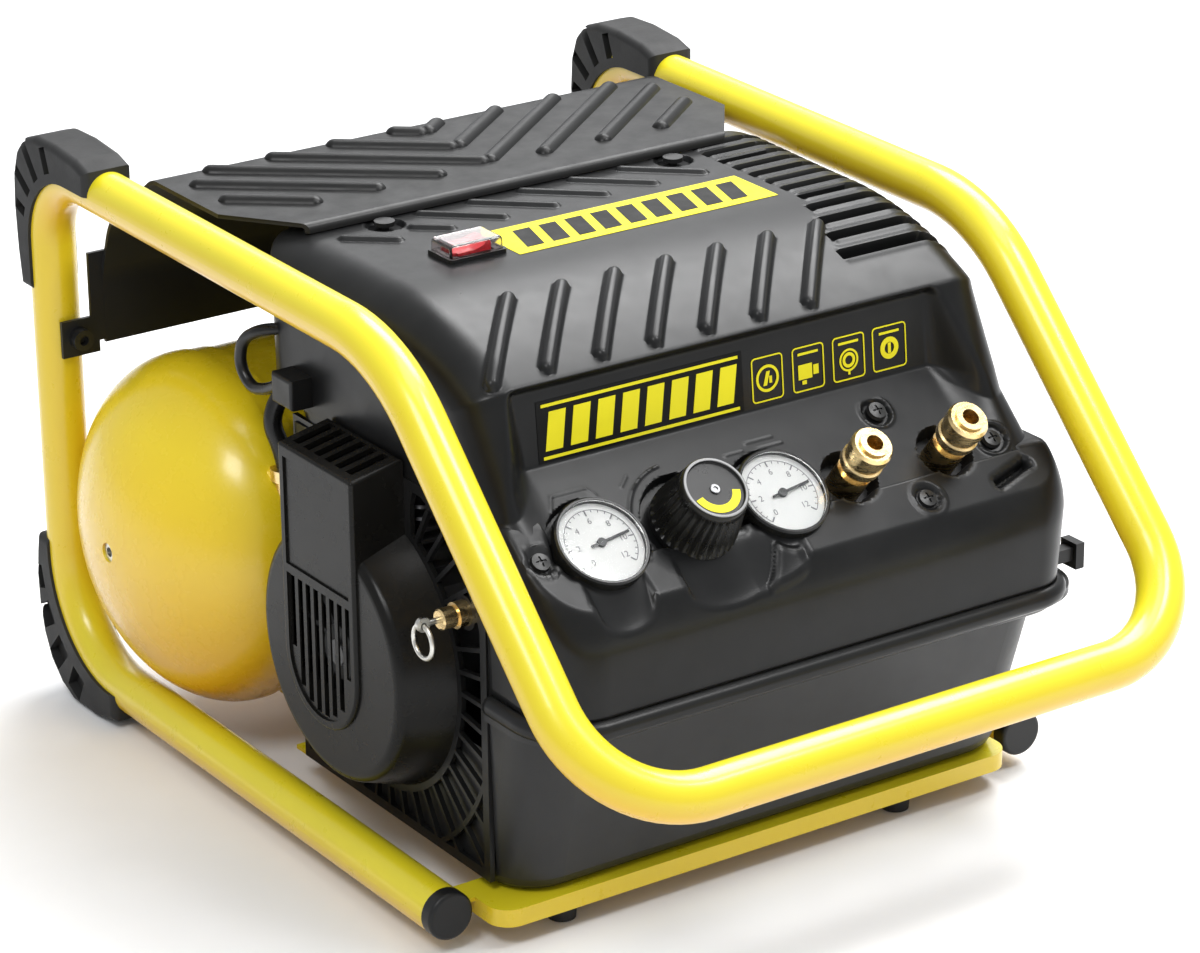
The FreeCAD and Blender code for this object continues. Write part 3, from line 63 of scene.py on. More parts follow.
# ---- materials ----------------------------------------------------------------------------
def new_material(name, base, rough, metallic=0.0, coat=0.0, coat_rough=0.1, specular=0.5,
                 tint=0.06, tint_scale=18.0, rough_spread=0.08, rough_scale=60.0,
                 bump=0.0, bump_scale=900.0, bump2=0.0, bump2_scale=60.0, dust=0.0, wear=None,
                 streak=None, transmission=0.0, ior=1.5, painted_shade_underside=None):
    """A principled material whose colour, roughness and relief all vary by noise in object space, with an
    optional painted shade colour on down-facing faces.
    """
    mat = bpy.data.materials.new(name)
    mat.use_nodes = True
    tree = mat.node_tree
    nodes, links = tree.nodes, tree.links
    shader = nodes["Principled BSDF"]
    coords = nodes.new("ShaderNodeTexCoord")
    mapping = nodes.new("ShaderNodeMapping")
    links.new(coords.outputs["Object"], mapping.inputs["Vector"])
    if streak:
        mapping.inputs["Scale"].default_value = streak

    def noise(scale, detail=4.0, roughness=0.55, straight=False):
        node = nodes.new("ShaderNodeTexNoise")
        node.inputs["Scale"].default_value = scale
        node.inputs["Detail"].default_value = detail
        node.inputs["Roughness"].default_value = roughness
        source = coords.outputs["Object"] if straight else mapping.outputs["Vector"]
        links.new(source, node.inputs["Vector"])
        return node.outputs["Fac"]

    def spread(fac, low, high, out_low, out_high):
        node = nodes.new("ShaderNodeMapRange")
        node.inputs["From Min"].default_value = low
        node.inputs["From Max"].default_value = high
        node.inputs["To Min"].default_value = out_low
        node.inputs["To Max"].default_value = out_high
        links.new(fac, node.inputs["Value"])
        return node.outputs["Result"]

    def mixed(fac, one, two):
        node = nodes.new("ShaderNodeMix")
        node.data_type = "RGBA"
        if isinstance(fac, float):
            node.inputs[0].default_value = fac
        else:
            links.new(fac, node.inputs[0])
        for socket, value in ((node.inputs[6], one), (node.inputs[7], two)):
            if isinstance(value, tuple):
                socket.default_value = value
            else:
                links.new(value, socket)
        return node.outputs[2]

    base = tuple(base) + (1.0,)
    dark = tuple(c * (1.0 - tint) for c in base[:3]) + (1.0,)
    light = tuple(min(1.0, c * (1.0 + tint) + 0.01 * tint) for c in base[:3]) + (1.0,)
    colour = mixed(spread(noise(tint_scale), 0.3, 0.7, 0.0, 1.0), dark, light)
    if dust:
        film = spread(noise(tint_scale * 0.7, 6.0, 0.7, True), 0.48, 0.8, 0.0, dust)
        colour = mixed(film, colour, (0.20, 0.195, 0.185, 1.0))
    # painted shade: faces whose normal points downwards shift to a darker orange, standing in for shade and
    # warm bounce light on the undersides
    if painted_shade_underside:
        split = nodes.new("ShaderNodeSeparateXYZ")
        links.new(coords.outputs["Normal"], split.inputs["Vector"])
        colour = mixed(spread(split.outputs["Z"], 0.55, -0.65, 0.0, 0.85), colour, tuple(painted_shade_underside) + (1.0,))
    if wear:
        edge = nodes.new("ShaderNodeNewGeometry").outputs["Pointiness"]
        rubbed = spread(edge, 0.515, 0.56, 0.0, wear[1])
        colour = mixed(rubbed, colour, tuple(wear[0]) + (1.0,))
    links.new(colour, shader.inputs["Base Color"])
    roughness = spread(noise(rough_scale, 5.0, 0.6), 0.25, 0.75,
                       max(0.02, rough - rough_spread), min(1.0, rough + rough_spread))
    links.new(roughness, shader.inputs["Roughness"])
    shader.inputs["Metallic"].default_value = metallic
    shader.inputs["Specular IOR Level"].default_value = specular
    shader.inputs["Coat Weight"].default_value = coat
    shader.inputs["Coat Roughness"].default_value = coat_rough
    shader.inputs["Transmission Weight"].default_value = transmission
    shader.inputs["IOR"].default_value = ior
    normal = None
    for strength, scale in ((bump, bump_scale), (bump2, bump2_scale)):
        if strength:
            node = nodes.new("ShaderNodeBump")
            node.inputs["Strength"].default_value = 1.0
            node.inputs["Distance"].default_value = strength / 1000.0
            links.new(noise(scale, 3.0, 0.6), node.inputs["Height"])
            if normal is not None:
                links.new(normal, node.inputs["Normal"])
            normal = node.outputs["Normal"]
    if normal is not None:
        links.new(normal, shader.inputs["Normal"])
    return mat


M = {}
# the yellow paint and the tank paint carry painted shade: a darker orange on their down-facing sides
M["paint"] = new_material("yellow_powder_coat", (0.68, 0.58, 0.016), 0.30, coat=0.30, coat_rough=0.14,
                          tint=0.04, tint_scale=9.0, bump=0.008, bump_scale=700.0, bump2=0.008,
                          bump2_scale=160.0, rough_spread=0.05, painted_shade_underside=(0.68, 0.36, 0.010))
M["tank"] = new_material("tank_paint", (0.78, 0.59, 0.014), 0.27, coat=0.2, coat_rough=0.12,
                         tint=0.04, tint_scale=7.0, bump=0.008, bump_scale=600.0, bump2=0.006,
                         bump2_scale=90.0, rough_spread=0.05, painted_shade_underside=(0.60, 0.27, 0.008))
M["housing"] = new_material("housing_plastic", (0.0070, 0.0072, 0.0075), 0.32, specular=0.22, tint=0.14,
                            tint_scale=22.0, bump=0.016, bump_scale=1500.0, rough_spread=0.05,
                            dust=0.015, wear=((0.04, 0.04, 0.04), 0.25))
M["lower"] = new_material("lower_housing_plastic", (0.012, 0.012, 0.0122), 0.40, specular=0.40, tint=0.14,
                          tint_scale=20.0, bump=0.020, bump_scale=1300.0, rough_spread=0.07, dust=0.02)
M["cover"] = new_material("cover_plastic", (0.0060, 0.0057, 0.0050), 0.26, specular=0.16, tint=0.12,
                          tint_scale=25.0, bump=0.012, bump_scale=1400.0, rough_spread=0.05, dust=0.012)
M["grille"] = new_material("grille_plastic", (0.0065, 0.0065, 0.0065), 0.34, specular=0.28, tint=0.12,
                           bump=0.015, bump_scale=1300.0, dust=0.015)
M["deck"] = new_material("deck_powder_coat", (0.0075, 0.0075, 0.0075), 0.36, specular=0.20, tint=0.12,
                         tint_scale=16.0, bump=0.016, bump_scale=1100.0, dust=0.015,
                         wear=((0.05, 0.05, 0.05), 0.2))
M["rubber"] = new_material("protector_rubber", (0.020, 0.020, 0.020), 0.60, specular=0.25, tint=0.18,
                           tint_scale=30.0, bump=0.10, bump_scale=500.0, rough_spread=0.1, dust=0.04)
M["cap"] = new_material("cap_plastic", (0.009, 0.009, 0.0092), 0.36, specular=0.3, tint=0.12,
                        bump=0.015, dust=0.015)
M["line"] = new_material("line_rubber", (0.007, 0.007, 0.007), 0.28, specular=0.35, tint=0.12, bump=0.015,
                         bump_scale=700.0, dust=0.02)
M["brass"] = new_material("machined_brass", (0.80, 0.60, 0.30), 0.27, metallic=1.0, tint=0.12,
                          tint_scale=120.0, bump=0.01, bump_scale=1800.0, rough_spread=0.1,
                          streak=(1.0, 1.0, 6.0))
M["zinc"] = new_material("zinc_plate", (0.62, 0.61, 0.57), 0.30, metallic=1.0, tint=0.10,
                         tint_scale=90.0, bump=0.01, bump_scale=1500.0, rough_spread=0.1)
M["blacksteel"] = new_material("black_oxide", (0.03, 0.03, 0.03), 0.35, metallic=0.7, tint=0.15,
                               tint_scale=90.0, bump=0.01, bump_scale=1500.0)
M["gauge"] = new_material("gauge_gloss_black", (0.009, 0.009, 0.009), 0.20, specular=0.35, tint=0.1,
                          bump=0.006, bump_scale=500.0, rough_spread=0.05)
M["dial"] = new_material("dial_print_white", (0.85, 0.85, 0.83), 0.5, tint=0.02, bump=0.006,
                         bump_scale=900.0)
M["ink"] = new_material("dial_ink", (0.02, 0.02, 0.02), 0.5, tint=0.1, bump=0.004)
M["ring"] = new_material("knob_ring", (0.20, 0.20, 0.20), 0.35, tint=0.1, bump=0.01)
M["tick"] = new_material("scale_ink", (0.22, 0.22, 0.23), 0.5, tint=0.1, bump=0.004)
M["knob"] = new_material("knob_plastic", (0.007, 0.007, 0.007), 0.30, specular=0.3, tint=0.1, bump=0.012,
                         bump_scale=1200.0)
M["alu"] = new_material("cast_aluminium", (0.22, 0.22, 0.23), 0.48, metallic=1.0, tint=0.12,
                        tint_scale=40.0, bump=0.06, bump_scale=500.0)
# painted shade: the steel colour is darkened to 0.20 so the shaft, bearings and valve plate inside the fan
# cover read as shaded; the knob's screw shares this colour
M["steel"] = new_material("ground_steel_with_painted_shade", (0.20, 0.20, 0.205), 0.34, metallic=1.0, tint=0.08,
                          tint_scale=60.0, bump=0.01, bump_scale=900.0)
M["iron"] = new_material("cast_iron", (0.12, 0.12, 0.12), 0.55, metallic=0.8, tint=0.15, bump=0.08,
                         bump_scale=400.0)
M["lamination"] = new_material("stator_laminations", (0.20, 0.20, 0.21), 0.42, metallic=0.9, tint=0.15,
                               tint_scale=300.0, bump=0.03, bump_scale=900.0, streak=(12.0, 1.0, 1.0))
M["red"] = new_material("switch_red", (0.62, 0.012, 0.02), 0.28, tint=0.08, coat=0.3, bump=0.008)
M["decal"] = new_material("decal_yellow", (0.74, 0.66, 0.018), 0.42, specular=0.15, tint=0.05,
                          tint_scale=30.0,
                          bump=0.008, bump_scale=900.0)
M["decal_dark"] = new_material("decal_black", (0.006, 0.006, 0.006), 0.42, specular=0.12, tint=0.1,
                               bump=0.008,
                               bump_scale=900.0)


def clear_material(name, colour, rough):
    mat = new_material(name, colour, rough, transmission=1.0, ior=1.45, tint=0.02, bump=0.004,
                       bump_scale=300.0, rough_spread=0.02)
    return mat


M["lens"] = clear_material("gauge_lens", (0.98, 0.99, 0.99), 0.04)
M["cover_clear"] = clear_material("splash_cover", (0.95, 0.90, 0.90), 0.14)

NODE_MATERIAL = {
    "paint": "cage_tube base_tray",
    "tank": "tank_shell tank_ends tank_brackets",
    "cap": "tube_end_caps cable_glands switch_bezel pressure_switch reset_button air_filter",
    "rubber": "top_corner_protectors bottom_corner_protectors tray_feet",
    "deck": "storage_deck",
    "blacksteel": "deck_screws housing_screws",
    "zinc": "tray_bolts tank_plugs drain_cock_tap relief_valve_stem relief_valve_ring",
    "brass": "drain_cock_body check_valve relief_valve_body coupler_left_body coupler_left_sleeve "
             "coupler_right_body coupler_right_sleeve regulator_body",
    "line": "delivery_hose motor_lead",
    "housing": "upper_housing",
    "lower": "lower_housing",
    "grille": "side_grille cooling_fan",
    "cover": "fan_cover",
    "gauge": "tank_gauge_case outlet_gauge_case",
    "dial": "tank_gauge_dial outlet_gauge_dial",
    "ink": "tank_gauge_needle outlet_gauge_needle",
    "lens": "tank_gauge_lens outlet_gauge_lens",
    "knob": "regulator_knob",
    "red": "switch_rocker",
    "cover_clear": "switch_cover",
    "alu": "manifold motor_end_bells crankcase piston_rod cylinder cylinder_head motor_rotor",
    "steel": "shaft_bearings motor_shaft valve_plate",
    "iron": "crank_eccentric",
    "lamination": "motor_stator",
}


def smooth_by_angle(obj, degrees):
    """Smooth faces, with edges sharper than the angle left crisp."""
    mesh = obj.data
    mesh.polygons.foreach_set("use_smooth", [True] * len(mesh.polygons))
    bm = bmesh.new()
    bm.from_mesh(mesh)
    sharp = [len(e.link_faces) == 2 and e.calc_face_angle(0.0) > math.radians(degrees) for e in bm.edges]
    bm.free()
    mesh.edges.foreach_set("use_edge_sharp", sharp)


for key, names in NODE_MATERIAL.items():
    for name in names.split():
        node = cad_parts[name]
        if not node.data.materials:
            node.data.materials.append(M[key])
        for index in range(len(node.material_slots)):
            node.material_slots[index].material = M[key]


def soften(name, width, degrees=38.0):
    """A small rounded edge on a CAD piece, so that it catches the light."""
    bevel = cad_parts[name].modifiers.new("edge", "BEVEL")
    bevel.width = width / 1000.0
    bevel.segments = 2
    bevel.limit_method = "ANGLE"
    bevel.angle_limit = math.radians(degrees)
    bevel.harden_normals = False
    bevel.use_clamp_overlap = True


SOFT_EDGES = {"base_tray": 0.5, "storage_deck": 0.5, "switch_bezel": 0.5, "cable_glands": 0.6,
              "deck_screws": 0.4, "reset_button": 0.5, "side_grille": 0.35, "lower_housing": 0.5}
for name, width in SOFT_EDGES.items():
    soften(name, width)


# ---- pieces -------------------------------------------------------------------------------
def add_mesh(name, points, faces, material, body="frame", replaces=(), smooth=35.0, move=True):
    """Make an object from points in the cage's frame and let it ride on a body."""
    mesh = bpy.data.meshes.new(name)
    mesh.from_pydata([tuple(p) for p in (metres(points) if move else points)], [], faces)
    mesh.update()
    mesh.materials.append(M[material])
    obj = bpy.data.objects.new(name, mesh)
    bpy.context.scene.collection.objects.link(obj)
    if smooth:
        smooth_by_angle(obj, smooth)
    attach(obj, body)
    if replaces:
        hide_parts(*replaces)
    return obj


def grid_faces(rows, cols, closed_cols=False, offset=0, flip=False):
    faces = []
    last = cols if closed_cols else cols - 1
    for i in range(rows - 1):
        for j in range(last):
            k = (j + 1) % cols
            quad = [offset + i * cols + j, offset + i * cols + k,
                    offset + (i + 1) * cols + k, offset + (i + 1) * cols + j]
            faces.append(quad[::-1] if flip else quad)
    return faces


def capsule(x, y, a, b, radius, height):
    """Height of a rounded bead from a to b, in the plane of x and y."""
    ax, ay = a
    bx, by = b
    dx, dy = bx - ax, by - ay
    t = np.clip(((x - ax) * dx + (y - ay) * dy) / (dx * dx + dy * dy), 0, 1)
    d = np.hypot(x - ax - t * dx, y - ay - t * dy)
    t = np.clip(1 - d / radius, 0, 1)
    return height * (1 - (1 - t) ** 2.2) * ease(t / 0.4)


# ---- upper housing ------------------------------------------------------------------------
LEFT_X, RIGHT_X = -168.0, 183.0
SIDE_R = 28.0
SEAM_Z = 112.3
TOP_Z = 318.5
PANEL_TOP = np.array([-418.7, 233.2])
PANEL_DOWN = np.array([-0.78188, -0.62341])
PANEL_OUT = np.array([-0.62341, 0.78188])
ROW_DOWN = 44.6
GAUGE_X = (-115.0, 5.0)
KNOB_X = -53.0
COUPLER_X = (53.0, 120.0)
CENTRE = np.array([-320.0, 230.0])


def arc_through(a, b, c, count):
    """Points on the circle through a, b and c, from a to c."""
    ax, ay = a
    bx, by = b
    cx, cy = c
    d = 2 * (ax * (by - cy) + bx * (cy - ay) + cx * (ay - by))
    a2 = ax * ax + ay * ay
    b2 = bx * bx + by * by
    c2 = cx * cx + cy * cy
    ux = (a2 * (by - cy) + b2 * (cy - ay) + c2 * (ay - by)) / d
    uy = (a2 * (cx - bx) + b2 * (ax - cx) + c2 * (bx - ax)) / d
    r = math.hypot(ax - ux, ay - uy)
    t0, t1 = math.atan2(ay - uy, ax - ux), math.atan2(cy - uy, cx - ux)
    ts = np.linspace(t0, t1, count)
    return np.stack([ux + r * np.cos(ts), uy + r * np.sin(ts)], axis=1)


def profile_rows():
    """Paired outlines (y, z) of the cheeks and of the recessed middle, from low rear to low front."""
    outer, inner = [], []

    def run(o0, o1, i0, i1, count):
        for t in np.linspace(0, 1, count, endpoint=False):
            outer.append(np.array(o0) * (1 - t) + np.array(o1) * t)
            inner.append(np.array(i0) * (1 - t) + np.array(i1) * t)

    def same(a, b, count):
        run(a, b, a, b, count)

    same((-219, 60), (-219, 226), 24)
    same((-219, 226), (-187, 226), 8)
    same((-187, 226), (-187, TOP_Z), 24)
    same((-187, TOP_Z), (-296, TOP_Z), 109)
    for p in arc_through((-296, TOP_Z), (-362, 309.5), (-412.1, 287.4), 122)[:-1]:
        outer.append(p)
        inner.append(p)
    run((-412.1, 287.4), (-414.6, 281.5), (-412.1, 287.4), (-406.6, 282.6), 8)
    run((-414.6, 281.5), (-437, 236), (-406.6, 282.6), (-410.5, 239.5), 56)
    run((-437, 236), (-443, 222), (-410.5, 239.5), tuple(PANEL_TOP), 14)
    foot = PANEL_TOP + PANEL_DOWN * 71
    run((-443, 222), (-473.5, 190), tuple(PANEL_TOP), tuple(foot), 84)
    run((-473.5, 190), (-474, 60), tuple(foot), (-474, 60), 30)
    outer, inner = np.array(outer), np.array(inner)
    for line in (outer, inner):
        for _ in range(3):
            line[1:-1] = 0.25 * line[:-2] + 0.5 * line[1:-1] + 0.25 * line[2:]
    return outer, inner


LOUVRES = 12
LOUVRE_PITCH = 15.6
LOUVRE_FRONT_Y = -378.0


def top_relief(x, y, z):
    """Beads, dishes and louvres on the top and the brow."""
    h = np.zeros_like(x)
    upper = z > 280
    for i in range(7):
        top_x = 2 + 35.0 * (i - 3)
        h = np.maximum(h, capsule(x, y, (top_x, -350), (top_x - 46, -404), 5.4, 4.6))
    beads = [((-132, -226), (-108, -246)), ((-90, -232), (-73, -246))]
    beads += [((-74 + 34.8 * k, -214.5), (-74 + 34.8 * k + 36, -247)) for k in range(5)]
    for a, b in beads:
        h = np.maximum(h, capsule(x, y, a, b, 3.8, 2.4))
    for sx in (-100, 100):
        d = np.hypot(x - sx, y + 218)
        h -= 3.0 * ease((12.0 - d) / 1.6)
    for k in range(LOUVRES):
        y_mid = LOUVRE_FRONT_Y + LOUVRE_PITCH * k
        x_left = 120.0 - 18.0 * max(0.0, 1.0 - k / 4.0)
        inside = ease((3.6 - np.abs(y - y_mid)) / 1.2) * ease((x - x_left) / 1.5) * ease((177 - x) / 1.5)
        crown = 0.8 * ease((x - x_left) / 3) * ease((177 - x) / 3) * ease((9 - np.abs(y - y_mid)) / 5)
        h += np.where(inside > 0, -7.5 * inside, crown)
    return np.where(upper, h, 0.0)


POCKET = ((141.0, 72.5), (165.0, 65.5))
PANEL_MARKS = [((-131, 17), (-127, 9)), ((-127, 9), (-105, 9)), ((-105, 9), (-101, 15)),
               ((-14, 12), (-2, 12)), ((2, 8), (20, 8)), ((8, 13), (24, 13)), ((-84, 14), (-78, 9))]


def panel_relief(x, down):
    """Wells round the instruments, screws and couplers on the control panel."""
    h = np.zeros_like(x)
    upper = ease((62.0 - down) / 12.0)      # towards the bumper the wells run out into its dishes
    for gx in GAUGE_X:
        d = np.hypot(x - gx, down - ROW_DOWN)
        h -= 6.0 * ease((30.6 - d) / 1.2) * upper
    d = np.hypot(x - KNOB_X, down - ROW_DOWN)
    h -= 7.0 * ease((31.0 - d) / 1.4) * upper
    turn = np.degrees(np.arctan2(ROW_DOWN - down, x - KNOB_X))
    h += 0.8 * np.exp(-((d - 37.0) / 0.7) ** 2) * ((turn > 95) & (turn < 170))
    for cx in COUPLER_X:
        d = np.hypot(x - cx, down - ROW_DOWN)
        h -= 12.0 * ease((17.2 - d) / 1.2)
    for sx, sd in ((-153, 45), (153, 45), (92, 10), (92, 70)):
        d = np.hypot(x - sx, down - sd)
        h -= 2.0 * ease((9.2 - d) / 1.2)
        h += 0.8 * np.exp(-((d - 10.2) / 0.9) ** 2)
    for a, b in PANEL_MARKS:
        h += capsule(x, down, a, b, 1.1, 0.35)
    h -= 9.0 * ease((4.6 - segment_distance(x, down, *POCKET)) / 1.6)
    return h


def segment_distance(x, y, a, b):
    dx, dy = b[0] - a[0], b[1] - a[1]
    t = np.clip(((x - a[0]) * dx + (y - a[1]) * dy) / (dx * dx + dy * dy), 0, 1)
    return np.hypot(x - a[0] - t * dx, y - a[1] - t * dy)


def crest_dip(x):
    """How far the bumper's crest is cut down by the dishes round the left gauge and the knob."""
    def dish(centre, half, depth):
        return depth * np.sqrt(np.clip(1 - ((x - centre) / half) ** 2, 0, 1))
    return np.maximum(np.maximum(dish(-50, 29.5, 14.5), dish(-28, 31.5, 12.5)), dish(-118, 19.5, 13.0))


def scoop(x, down):
    """The dishes' floor runs down from the panel to the lowered crest."""
    return crest_dip(x) * ease((down - 58.0) / 26.0)


def crescent(x, down):
    """A raised sickle on the right-hand side of the knob's dish."""
    r = np.hypot(x + 52.0, down - ROW_DOWN)
    clear = np.hypot(x - GAUGE_X[1], down - ROW_DOWN)
    rise = 3.2 * ease((r - 44.5) / 1.6) * ease((x + 46) / 10) * ease((6 - x) / 12)
    return rise * ease((down - 66) / 4) * ease((clear - 28.5) / 2)


ROWS_ABOVE_RECESS = 24 + 8 + 24 + 109 + 121       # rear wall, ledge, rear rise, top and brow
UNDER_BUMPER = 57.4             # from here down the panel is lowered and the bumper piece covers it


def upper_shell():
    outer, inner = profile_rows()
    rows = len(outer)
    mid = np.arange(LEFT_X + SIDE_R, RIGHT_X - SIDE_R + 0.5, 1.0)
    turns = np.linspace(0, math.pi / 2, 41)
    xs = np.concatenate([LEFT_X + SIDE_R - SIDE_R * np.sin(turns[::-1]), mid[1:-1],
                         RIGHT_X - SIDE_R + SIDE_R * np.sin(turns)])
    inset = np.concatenate([SIDE_R * (1 - np.cos(turns[::-1])), 0 * mid[1:-1], SIDE_R * (1 - np.cos(turns))])
    cols = len(xs)
    X = np.tile(xs, (rows, 1))
    D = np.tile(inset, (rows, 1))
    index = np.arange(rows)[:, None]
    first_recess = ROWS_ABOVE_RECESS
    # how far the recess has opened at each row: half-widths where its walls start and end
    t = np.clip((index - first_recess) / 78.0, 0, 1)
    wall_in = 139 - 4 * t
    wall_out = 146 + 20 * t
    lean = 4.0
    W = ease((wall_out - np.abs(X - lean * t)) / (wall_out - wall_in))
    W = np.where(index < first_recess, 1.0, W)
    Y = outer[:, :1] * (1 - W) + inner[:, :1] * W
    Z = outer[:, 1:] * (1 - W) + inner[:, 1:] * W
    # corners: draw in towards the inside
    ty, tz = CENTRE[0] - Y, CENTRE[1] - Z
    length = np.hypot(ty, tz)
    Y += ty / length * D
    Z += tz / length * D
    P = np.stack([X, Y, Z], axis=2)
    du = np.gradient(P, axis=0)
    dv = np.gradient(P, axis=1)
    N = np.cross(du, dv)
    N /= np.linalg.norm(N, axis=2, keepdims=True) + 1e-9
    out = P - np.array([0, CENTRE[0], CENTRE[1]])
    out[:, :, 0] = 0.3 * P[:, :, 0]
    N *= np.sign((N * out).sum(axis=2, keepdims=True))
    H = np.where(index < first_recess - 2, top_relief(P[:, :, 0], P[:, :, 1], P[:, :, 2]), 0.0)
    down = (P[:, :, 1] - PANEL_TOP[0]) * PANEL_DOWN[0] + (P[:, :, 2] - PANEL_TOP[1]) * PANEL_DOWN[1]
    on_panel = (index > first_recess + 60) & (P[:, :, 2] < 240)
    H += np.where(on_panel, panel_relief(P[:, :, 0], down) * ease((down - 1) / 3), 0.0)
    under_bumper = (2.6 + 1.1 * scoop(P[:, :, 0], down)) * ease((down - UNDER_BUMPER) / 2.5)
    H -= np.where(on_panel | ((down > UNDER_BUMPER) & (index > first_recess + 60)), under_bumper, 0.0)
    P += N * H[:, :, None]
    points = P.reshape(-1, 3)
    faces = grid_faces(rows, cols)
    # the flat side walls
    points = list(points)
    for column, x in ((0, xs[0]), (cols - 1, xs[-1])):
        rim = [i * cols + column for i in range(rows)]
        extra = []
        if column == 0:
            hole = [(-421, 60), (-421, 218.5), (-229.5, 218.5), (-229.5, 60)]
            for y, z in hole:
                extra.append(len(points))
                points.append(np.array([x, y, z]))
        loop = rim + extra
        tris = tessellate_polygon([[Vector((0, points[i][1], points[i][2])) for i in loop]])
        for tri in tris:
            faces.append([loop[i] for i in tri])
    mesh = bpy.data.meshes.new("shell")
    bm = bmesh.new()
    verts = [bm.verts.new(tuple(p)) for p in points]
    for face in faces:
        try:
            bm.faces.new([verts[i] for i in face])
        except ValueError:
            pass
    bmesh.ops.bisect_plane(bm, geom=bm.verts[:] + bm.edges[:] + bm.faces[:], plane_co=(0, 0, SEAM_Z),
                           plane_no=(0, 0, -1), clear_outer=True)
    bmesh.ops.recalc_face_normals(bm, faces=bm.faces[:])
    bm.verts.index_update()
    pts = [v.co[:] for v in bm.verts]
    fcs = [[v.index for v in f.verts] for f in bm.faces]
    bm.free()
    bpy.data.meshes.remove(mesh)
    return pts, fcs


pts, fcs = upper_shell()
shell = add_mesh("upper_housing_shell", pts, fcs, "housing",
                 replaces=("upper_housing",), smooth=40.0)
thick = shell.modifiers.new("wall", "SOLIDIFY")
thick.thickness = 0.0022
thick.offset = -1.0


# ---- bumper -------------------------------------------------------------------------------
FRONT_Y = -489.0
BUMPER_LEFT, BUMPER_RIGHT = -168.6, 190.0
CREASE_IN = 6.0                 # how far the crease under the panel lies behind the front
ROLL_DROP = 22.0                # height of the curved band below the crease
PANEL_REACH = 26.0
END_SWELL = 17.0                # how far the right-hand end swells out below its post
SLOPE = PANEL_DOWN[1] / PANEL_DOWN[0]


def bumper_path():
    """Plan of the bumper's face from the left side round the front to the right: point and inward unit."""
    path = []

    def line(a, b, step):
        a, b = np.array(a, float), np.array(b, float)
        count = max(2, int(np.linalg.norm(b - a) / step))
        d = (b - a) / np.linalg.norm(b - a)
        n = np.array([-d[1], d[0]])
        for t in np.linspace(0, 1, count, endpoint=False):
            path.append((a + (b - a) * t, n))

    def corner(centre, r, a0, a1, count):
        for a in np.linspace(a0, a1, count, endpoint=False):
            u = np.array([math.cos(a), math.sin(a)])
            path.append((np.array(centre) + u * r, -u))

    line((BUMPER_LEFT, -426), (BUMPER_LEFT, FRONT_Y + 36), 3)
    corner((BUMPER_LEFT + 36, FRONT_Y + 36), 36, math.pi, 1.5 * math.pi, 26)
    line((BUMPER_LEFT + 36, FRONT_Y), (BUMPER_RIGHT - 26, FRONT_Y), 1.2)
    corner((BUMPER_RIGHT - 26, FRONT_Y + 26), 26, -math.pi / 2, 0, 24)
    line((BUMPER_RIGHT, FRONT_Y + 26), (BUMPER_RIGHT, -310), 3)
    corner((BUMPER_RIGHT - 26, -310), 26, 0, math.pi / 2 * 0.95, 14)
    return path


def roll_inset(drop):
    """Distance of the curved band behind the front at a drop below the crease."""
    t = np.clip(drop / ROLL_DROP, 0, 1)
    return CREASE_IN * (1 - t) ** 2


def bumper():
    cols = []
    for p, n in bumper_path():
        x, y = p
        on_side = float(ease(np.array((y - FRONT_Y - 10) / 26.0))) if x > 150 else 0.0
        swell = END_SWELL * float(ease(np.array((y + 472) / 36.0))) if x > 150 else 0.0
        top_limit = 199.0 if x > 0 else 219.0
        crease_y = y + n[1] * CREASE_IN
        crease_z = min(PANEL_TOP[1] + (crease_y - PANEL_TOP[0]) * SLOPE, top_limit)
        reach = PANEL_REACH + 4.0 * on_side
        dip = float(crest_dip(np.array(x))) if abs(y - FRONT_Y) < 8 else 0.0
        line = []
        for t in np.linspace(0, 1, 24):
            s = reach + (CREASE_IN - reach) * t
            at_y = y + n[1] * s
            plane_z = PANEL_TOP[1] + (at_y - PANEL_TOP[0]) * SLOPE + 0.12
            z = min(plane_z, top_limit)
            at_x = x + n[0] * s
            down = (at_y - PANEL_TOP[0]) * PANEL_DOWN[0] + (plane_z - PANEL_TOP[1]) * PANEL_DOWN[1]
            point = np.array([at_x, at_y, z])
            lowered = float(scoop(np.array(at_x), np.array(down)))
            point[2] -= lowered
            point[1] -= 0.30 * lowered
            rise = float(panel_relief(np.array(at_x), np.array(down)) * (1 - on_side)
                         + crescent(np.array(at_x), np.array(down)))
            point[1:] += PANEL_OUT * rise
            line.append(point)
        for drop in np.linspace(dip, ROLL_DROP, 12)[1:]:
            s = float(roll_inset(drop))
            line.append(np.array([x + n[0] * s, y + n[1] * s, crease_z - drop]))
        wall_top = crease_z - ROLL_DROP
        for t in np.linspace(0, 1, 13)[1:]:
            line.append(np.array([x + n[0] * 3.0 * t, y + n[1] * 3.0 * t, wall_top + (121.0 - wall_top) * t]))
        for s, z in ((2.2, 120.2), (0.4, 119.8), (-1.6, 118.9), (-2.6, 117.2), (-2.7, 115.2), (-2.0, 113.4),
                     (-0.6, SEAM_Z), (7.0, SEAM_Z)):
            line.append(np.array([x + n[0] * s, y + n[1] * s, z]))
        line = np.array(line)
        line[1:-10] = 0.25 * line[:-11] + 0.5 * line[1:-10] + 0.25 * line[2:-9]
        out = swell * ease((crease_z - line[:, 2]) / 52.0)
        line[:, 0] -= n[0] * out
        line[:, 1] -= n[1] * out
        cols.append(line)
    P = np.array(cols)
    count, deep = P.shape[:2]
    return P.reshape(-1, 3), grid_faces(count, deep)


